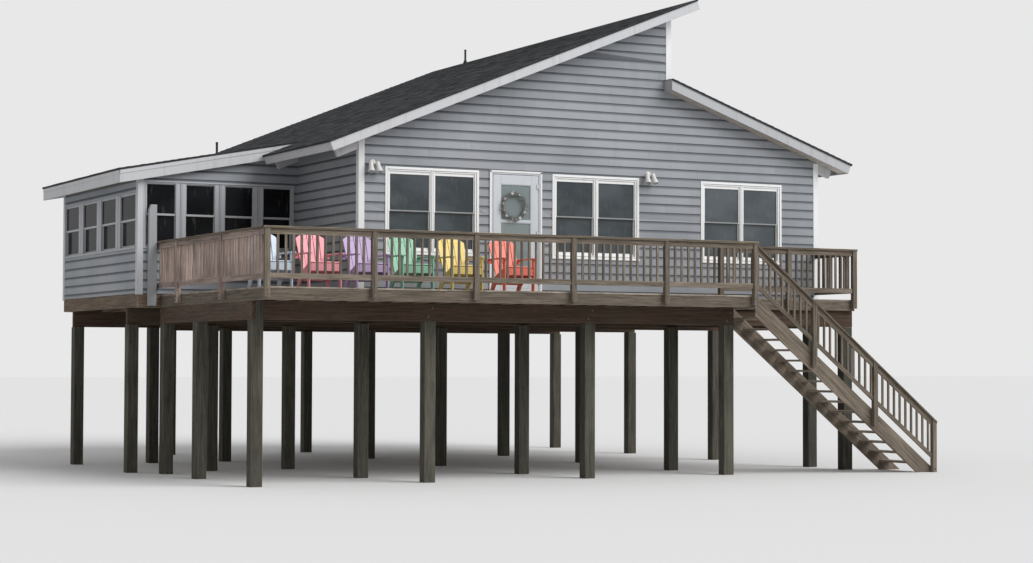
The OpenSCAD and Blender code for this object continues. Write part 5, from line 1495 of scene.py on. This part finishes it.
# Roof vents, flood lights
vents = {
    "wing": (mainL - 0.412, wingB - 1.457, wingTop, wingPitch, 0.335),
    "main": (ridgeX - 0.210, mainB - 1.640, mainTop, mainPitch, 0.315),
    "plate": 0.110, "plateZ": (-0.001, 0.010),
    "rings": ((0.045, 0, 0.045, 24, 0.008), (0.034, 0.040, 0.075, 24, 0.006)),  # radius, levels, sides, bevel
}
fittings = Boards(130)
for x, y, topOf, lean, height in (vents["wing"], vents["main"]):
    half, z, (plateLow, plateHigh) = vents["plate"], topOf(x) + shingle["lift"], vents["plateZ"]
    left, right = z - lean * half, z + lean * half
    outline = [(x - half, left + plateLow), (x + half, right + plateLow), (x + half, right + plateHigh),
               (x - half, left + plateHigh)]
    fittings.prism(outline, "y", y - half, y + half, 0.003, along=False)
    for radius, start, end, sides, bevel in vents["rings"]:
        fittings.round((x, y), radius, z + start, z + end, sides=sides, bevel=bevel)
    fittings.round((x, y), 0.023, z, z + height, sides=20, bevel=0.002)
    fittings.round((x, y), 0.026, z + height - 0.030, z + height, sides=20, bevel=0.002)
fittings.piece("roof_vents", "blackPlastic", "vent_plastic", ["vent_pipes"])


def lathe(shape, profile, sides=20):  # turns an outline of (radius, height) about the local Z
    first, n = len(shape.points), len(profile)
    for i in range(sides):
        a = 2 * math.pi * i / sides
        shape.points += [shape.turn @ Vector((r * math.cos(a), r * math.sin(a), h)) for r, h in profile]
    for i in range(sides):
        j = (i + 1) % sides
        for k in range(n - 1):
            here, there = first + i * n + k, first + j * n + k
            shape.addFace([here, there, there + 1, here + 1], [(i / sides, k / n)] * 4)
    for k, order in ((0, range(sides - 1, -1, -1)), (n - 1, range(sides))):
        shape.addFace([first + i * n + k for i in order], [(0.0, 0.0)] * sides)
    shape.tone += [shape.random.random()] * (len(shape.points) - first)


lamp = {
    "places": ((2.851, 2.257), (8.407, 2.283)), "out": 14, "down": 157, "head": (0.062, -0.092, -0.008),
    "plate": [(0.050, 0.0), (0.062, 0.004), (0.062, 0.022), (0.056, 0.031), (0.030, 0.036)],
    "neck": [(0.020, 0.030), (0.020, 0.094), (0.016, 0.100)],
    "shade": [(0.014, -0.028), (0.030, -0.025), (0.038, -0.014), (0.041, 0.000), (0.040, 0.060),
              (0.047, 0.100), (0.057, 0.150), (0.058, 0.171), (0.051, 0.173), (0.050, 0.160)],
    "lens": [(0.050, 0.158), (0.040, 0.166), (0.020, 0.171), (0.004, 0.172)],
}
lamps, lenses = Boards(131), Boards(132)
for x, z in lamp["places"]:
    base = Matrix.Translation((x, mainF, z))
    lamps.turn = base @ Matrix.Rotation(math.radians(90), 4, "X")
    lathe(lamps, lamp["plate"], 28)
    lathe(lamps, lamp["neck"], 16)
    lamps.turn = base
    lamps.box((-0.075, -0.098, -0.012), (0.075, -0.074, 0.012), 0.006)
    for side in (-1, 1):
        headX, headY, headZ = lamp["head"]
        outwards = Matrix.Rotation(math.radians(side * lamp["out"]), 4, "Z")
        downwards = Matrix.Rotation(math.radians(lamp["down"]), 4, "X")
        lamps.turn = base @ Matrix.Translation((side * headX, headY, headZ)) @ outwards @ downwards
        lenses.turn = lamps.turn
        lathe(lamps, lamp["shade"], 24)
        lathe(lenses, lamp["lens"], 24)
lamps.turn = lenses.turn = Matrix()
lamps.piece("flood_lamp_bodies", "whitePlastic", "lamp_plastic", ["flood_lights"])
lenses.piece("flood_lamp_lenses", "lens", "lamp_plastic")
print("fittings")

# Deck chairs: a fanned back, a stepped seat and broad arms, one coat of paint each
chair = {
    "w": 0.580, "legT": 0.024, "legD": 0.085, "armZ": 0.580, "armT": 0.022, "y": 0.950,
    "foot": (0.448, 0.205), "lean": math.atan(290 / 730), "slats": 5, "gap": 0.005, "fan": (0.420, 0.380),
    "backT": 0.018, "fanH": 0.8, "shoulder": 0.42, "seat": (6, 0.084, 0.0356),  # boards, step back, step down
    "side": [(0.012, 0.300), (0.150, 0.263), (0.300, 0.204), (0.420, 0.140), (0.520, 0), (0.640, 0),
             (0.580, 0.115), (0.520, 0.230), (0.060, 0.425), (0.012, 0.415)],
    "arm": [(-0.045, -0.020), (-0.037, -0.038), (-0.020, -0.045), (0.030, -0.045), (0.047, -0.038),
            (0.055, -0.020), (0.055, 0.330), (0.038, 0.640), (-0.033, 0.640), (-0.045, 0.330)],
    "seatBoard": [(0.020, 0.441), (0.027, 0.459), (0.040, 0.4545), (0.092, 0.432), (0.101, 0.426),
                  (0.094, 0.410)],
}
chairs = {
    "white": (0.225, (206, 218, 232)), "pink": (1.083, (238, 158, 168)), "violet": (1.930, (182, 158, 198)),
    "green": (2.757, (138, 192, 164)), "yellow": (3.681, (228, 204, 120)), "coral": (4.673, (238, 124, 106)),
}


def fanSlat(i):  # outline of one back slat, cut by the round top
    lowW, highW = (chair["w"] - 0.140) / chair["slats"], (chair["w"] - 0.040) / chair["slats"]
    (v0, r), fanH, shoulder = chair["fan"], chair["fanH"], chair["shoulder"]

    def side(s, v):
        a, b = i * lowW + s * (lowW - chair["gap"]) / 2, i * highW + s * (highW / 2 - chair["gap"])
        return a + (b - a) * v / fanH

    ends = []
    for s in (1, -1):
        v = fanH
        while v > v0 and side(s, v) ** 2 + (v - v0) ** 2 > r ** 2:
            v -= 0.001
        ends.append(side(s, v))
    arc = [(u, v0 + math.sqrt(max(0.0, r ** 2 - u ** 2))) for u in np.linspace(*ends, 7)]
    foot = [(side(-1, 0), 0), (side(1, 0), 0), (side(1, shoulder), shoulder)]
    return foot + arc + [(side(-1, shoulder), shoulder)]


def buildChair(shape, x):
    w, legT, armZ, armT, backT = chair["w"], chair["legT"], chair["armZ"], chair["armT"], chair["backT"]
    base = Matrix.Translation((x, chair["y"], 0))
    shape.turn = base

    def screw(centre, start, end, axis="z", radius=0.005, bevel=0.0005):
        shape.round(centre, radius, start, end, axis, 8, bevel)

    for s in (-1, 1):
        outer = 0 if s < 0 else w - legT
        inner = outer - s * legT
        shape.box((outer, 0, 0), (outer + legT, chair["legD"], armZ), 0.004, run="z")
        shape.prism(chair["side"], "x", inner, inner + legT, 0.004, along=False, grain=(0.92, -0.39))
        plan = [(u if s < 0 else w - u, v) for u, v in chair["arm"]]
        shape.prism(plan, "z", armZ, armZ + armT, 0.005, along=False, grain=(0, 1))
        for y in (0.022, 0.062):
            screw((outer + legT / 2, y), armZ + armT, armZ + armT + 0.0015)
        legEnds = (outer - 0.003, outer) if s < 0 else (outer + legT, outer + legT + 0.003)
        backEnds = (-0.023, -0.020) if s < 0 else (w + 0.020, w + 0.023)
        for z in (0.335, 0.385):
            screw((0.046, z), *legEnds, "x", 0.006, 0.001)
        screw((0.600, 0.550), *backEnds, "x", 0.006, 0.001)
    count, stepBack, stepDown = chair["seat"]
    slope = math.atan2(-stepDown, stepBack)
    for i in range(count):
        y, z = i * stepBack, -i * stepDown
        shape.prism([(y + v, z + h) for v, h in chair["seatBoard"]], "x", legT, w - legT, 0.003)
        for x0 in (legT + 0.012, w - legT - 0.012):
            spot = Matrix.Translation((x0, y + 0.066, z + 0.4430))
            shape.turn = base @ spot @ Matrix.Rotation(slope, 4, "X")
            screw((0, 0), -0.001, 0.0015)
        shape.turn = base
    shape.box((2 * legT, 0.012, 0.300), (w - 2 * legT, 0.034, 0.425), 0.004)
    shape.box((2 * legT, 0.430, 0.150), (w - 2 * legT, 0.455, 0.262), 0.004)
    shape.box((-0.020, 0.585, armZ - 0.060), (w + 0.020, 0.615, armZ), 0.004)
    shape.box((0.080, 0.680, 0.800), (w - 0.080, 0.700, 0.860), 0.005)
    lean = Matrix.Rotation(math.pi / 2 - chair["lean"], 4, "X")
    back = base @ Matrix.Translation((w / 2, *chair["foot"])) @ lean
    half = chair["slats"] // 2
    for i in range(-half, half + 1):
        shape.turn = back @ Matrix.Translation((0, 0, 0.0015 * i * i)) @ Matrix.Rotation(-0.012 * i, 4, "Y")
        shape.prism(fanSlat(i), "z", 0, backT, 0.004, along=False, grain=(0, 1))
        for v in (0.045, 0.395, 0.660 - 0.03 * abs(i)):
            screw((i * (0.088 + 0.02 * v / 0.8), v), backT - 0.001, backT + 0.0015)


for n, (name, (x, shade)) in enumerate(chairs.items()):
    dirt = colour(*[v * 0.55 for v in shade])
    materials[name] = paintMaterial(name + "Paint", colour(*shade), dirt=dirt, dirtShare=0.22, rough=0.42,
                                    grainBump=0.3, wear=0.35, coat=0.15)
    shape = Boards(140 + n)
    buildChair(shape, x)
    shape.piece("deck_chair_" + name, name, "chair_" + name, ["chair_" + name])
print("chairs")


# Bolts and deck screws: one small head laid on points by nodes, turned by each point's own angle
def spotsGroup():
    t, keys = newGroup("spots", {
        "Geometry": "Geometry", "Piece": "Object", "Material": "Material", "Seed": "Int"})
    given = t.node("NodeGroupInput")
    turn = t.node("GeometryNodeInputNamedAttribute", {"data_type": "FLOAT_VECTOR"}, {"Name": "turn"})
    t.close(given, t.layPieces(given, given["Geometry"], {"Rotation": turn}, 0))
    return t, keys


spots = spotsGroup()


def laySpots(name, head, places, seed):
    mesh = bpy.data.meshes.new(name + "Spots")
    mesh.from_pydata([Vector(spot) + origin for spot, _ in places], [], [])
    turned = np.array([turn for _, turn in places], np.float32).ravel()
    mesh.attributes.new("turn", "FLOAT_VECTOR", "POINT").data.foreach_set("vector", turned)
    piece = bpy.data.meshes.new(name + "Head")
    piece.from_pydata(head.points, [], head.faces)
    values = {"Piece": addHidden(name + "Head", piece), "Material": materials["bolt"], "Seed": seed}
    addPiece(name, grow(name, mesh, spots, values), "bolt")


boltHead, screwHead = Boards(150), Boards(151)
boltHead.round((0, 0), 0.020, -0.0022, 0.0, "y", 16, 0.0005)
boltHead.round((0, 0), 0.0115, -0.0100, -0.0020, "y", 6, 0.0012)
boltHead.round((0, 0), 0.0060, -0.0150, -0.0090, "y", 10, 0.001)
screwHead.round((0, 0), 0.0045, -0.0005, 0.0008, "z", 8, 0.0003)
turns = {"y": (0, 0, 0), "x": (0, 0, -math.pi / 2)}
bolts = [(spot, turns[way]) for spot, way in boltSpots + pileBolts]
laySpots("frame_bolts", boltHead, bolts, 5)
screws, screwIn = [], {"first": 0.035, "last": 0.040, "end": 0.04, "side": 0.03}
rows = round((deckBack - deckEdge) / (deckPlank["width"] + deckPlank["gap"]))
step = (deckBack - deckEdge) / rows
for start, end in blocks("deck_joists"):
    if end.y - start.y < end.x - start.x or start.x > deckR:
        continue
    for k in range(rows):
        for off in (screwIn["first"], step - screwIn["last"]):
            screws.append((((start.x + end.x) / 2, deckEdge + k * step + off, 0.0), (0, 0, 0)))
for start, end in blocks("stair_treads"):
    middle = (start.x + end.x) / 2
    side, edge = screwIn["side"], screwIn["end"]
    for x in (start.x + edge, middle - side, middle + side, end.x - edge):
        for y in (start.y + side, end.y - side):
            screws.append(((x, y, end.z), (0, 0, 0)))
laySpots("deck_screws", screwHead, screws, 6)
print("bolts", len(bolts), "screws", len(screws))

# What the walls show inside: plaster over the CAD walls, in object coordinates
walls = ["front_wall_left", "front_wall_over_door", "front_wall_right", "front_wall_end", "left_wall",
         "back_wall", "right_wall", "clerestory_wall", "wing_front_wall", "wing_left_wall", "wing_back_wall"]
for node in walls:
    for slot in frame["nodes"][node].material_slots:
        slot.material = materials["plaster"]

# Camera at the photograph's place, soft studio light and a plain pale floor
scene = bpy.context.scene
view = {"place": (-18.4537, -38.4275, 2.0059), "yaw": 0.4827, "pitch": 0.0370, "roll": 0.0026, "lens": 75.50}


def photoCamera():
    sy, cy = math.sin(view["yaw"]), math.cos(view["yaw"])
    sp, cp = math.sin(view["pitch"]), math.cos(view["pitch"])
    ahead, side = Vector((sy * cp, cy * cp, sp)), Vector((cy, -sy, 0))
    upward = side.cross(ahead)
    cr, sr = math.cos(view["roll"]), math.sin(view["roll"])
    x, y = cr * side + sr * upward, cr * upward - sr * side
    data = bpy.data.cameras.new("photoView")
    data.lens, data.sensor_width, data.clip_end = view["lens"], 36, 500
    made = addObject("photoView", data)
    made.matrix_world = Matrix.Translation(view["place"]) @ Matrix((x, y, -ahead)).transposed().to_4x4()
    scene.camera = made


photoCamera()
floorMesh = bpy.data.meshes.new("studioFloor")
reach = 220
corners = [(-reach, -reach, -0.001), (reach, -reach, -0.001), (reach, reach, -0.001), (-reach, reach, -0.001)]
floorMesh.from_pydata(corners, [], [(0, 1, 2, 3)])
made, t = newMaterial("floorPaper")
t.surface(colour(226, 226, 226), 0.9, t.noise(t.place(), 3, 2), (0.02, 0.001))
floorMesh.materials.append(made)
addObject("studioFloor", floorMesh)

lights = {"sky": 0.52, "key": 2.6, "keySpread": 45, "keyFrom": (0.75, -1.0, 0.95)}
world = bpy.data.worlds.new("studio")
scene.world = world
world.use_nodes = True
world.node_tree.nodes.clear()
t = Tree(world.node_tree)
rays = t.node("ShaderNodeLightPath")
soft = t.node("ShaderNodeBackground", {}, {"Color": (1, 1, 1, 1), "Strength": lights["sky"]})
plain = t.node("ShaderNodeBackground", {}, {"Color": colour(232, 232, 232), "Strength": 1.0})
shown = t.node("ShaderNodeMixShader", {}, {0: rays["Is Camera Ray"], 1: soft, 2: plain})
t.node("ShaderNodeOutputWorld", {}, {"Surface": shown})
key = bpy.data.lights.new("key", "SUN")
key.energy, key.angle = lights["key"], math.radians(lights["keySpread"])
sun = addObject("key", key)
sun.rotation_mode = "QUATERNION"
sun.rotation_quaternion = Vector(lights["keyFrom"]).to_track_quat("Z", "Y")
scene.view_settings.view_transform = "Standard"
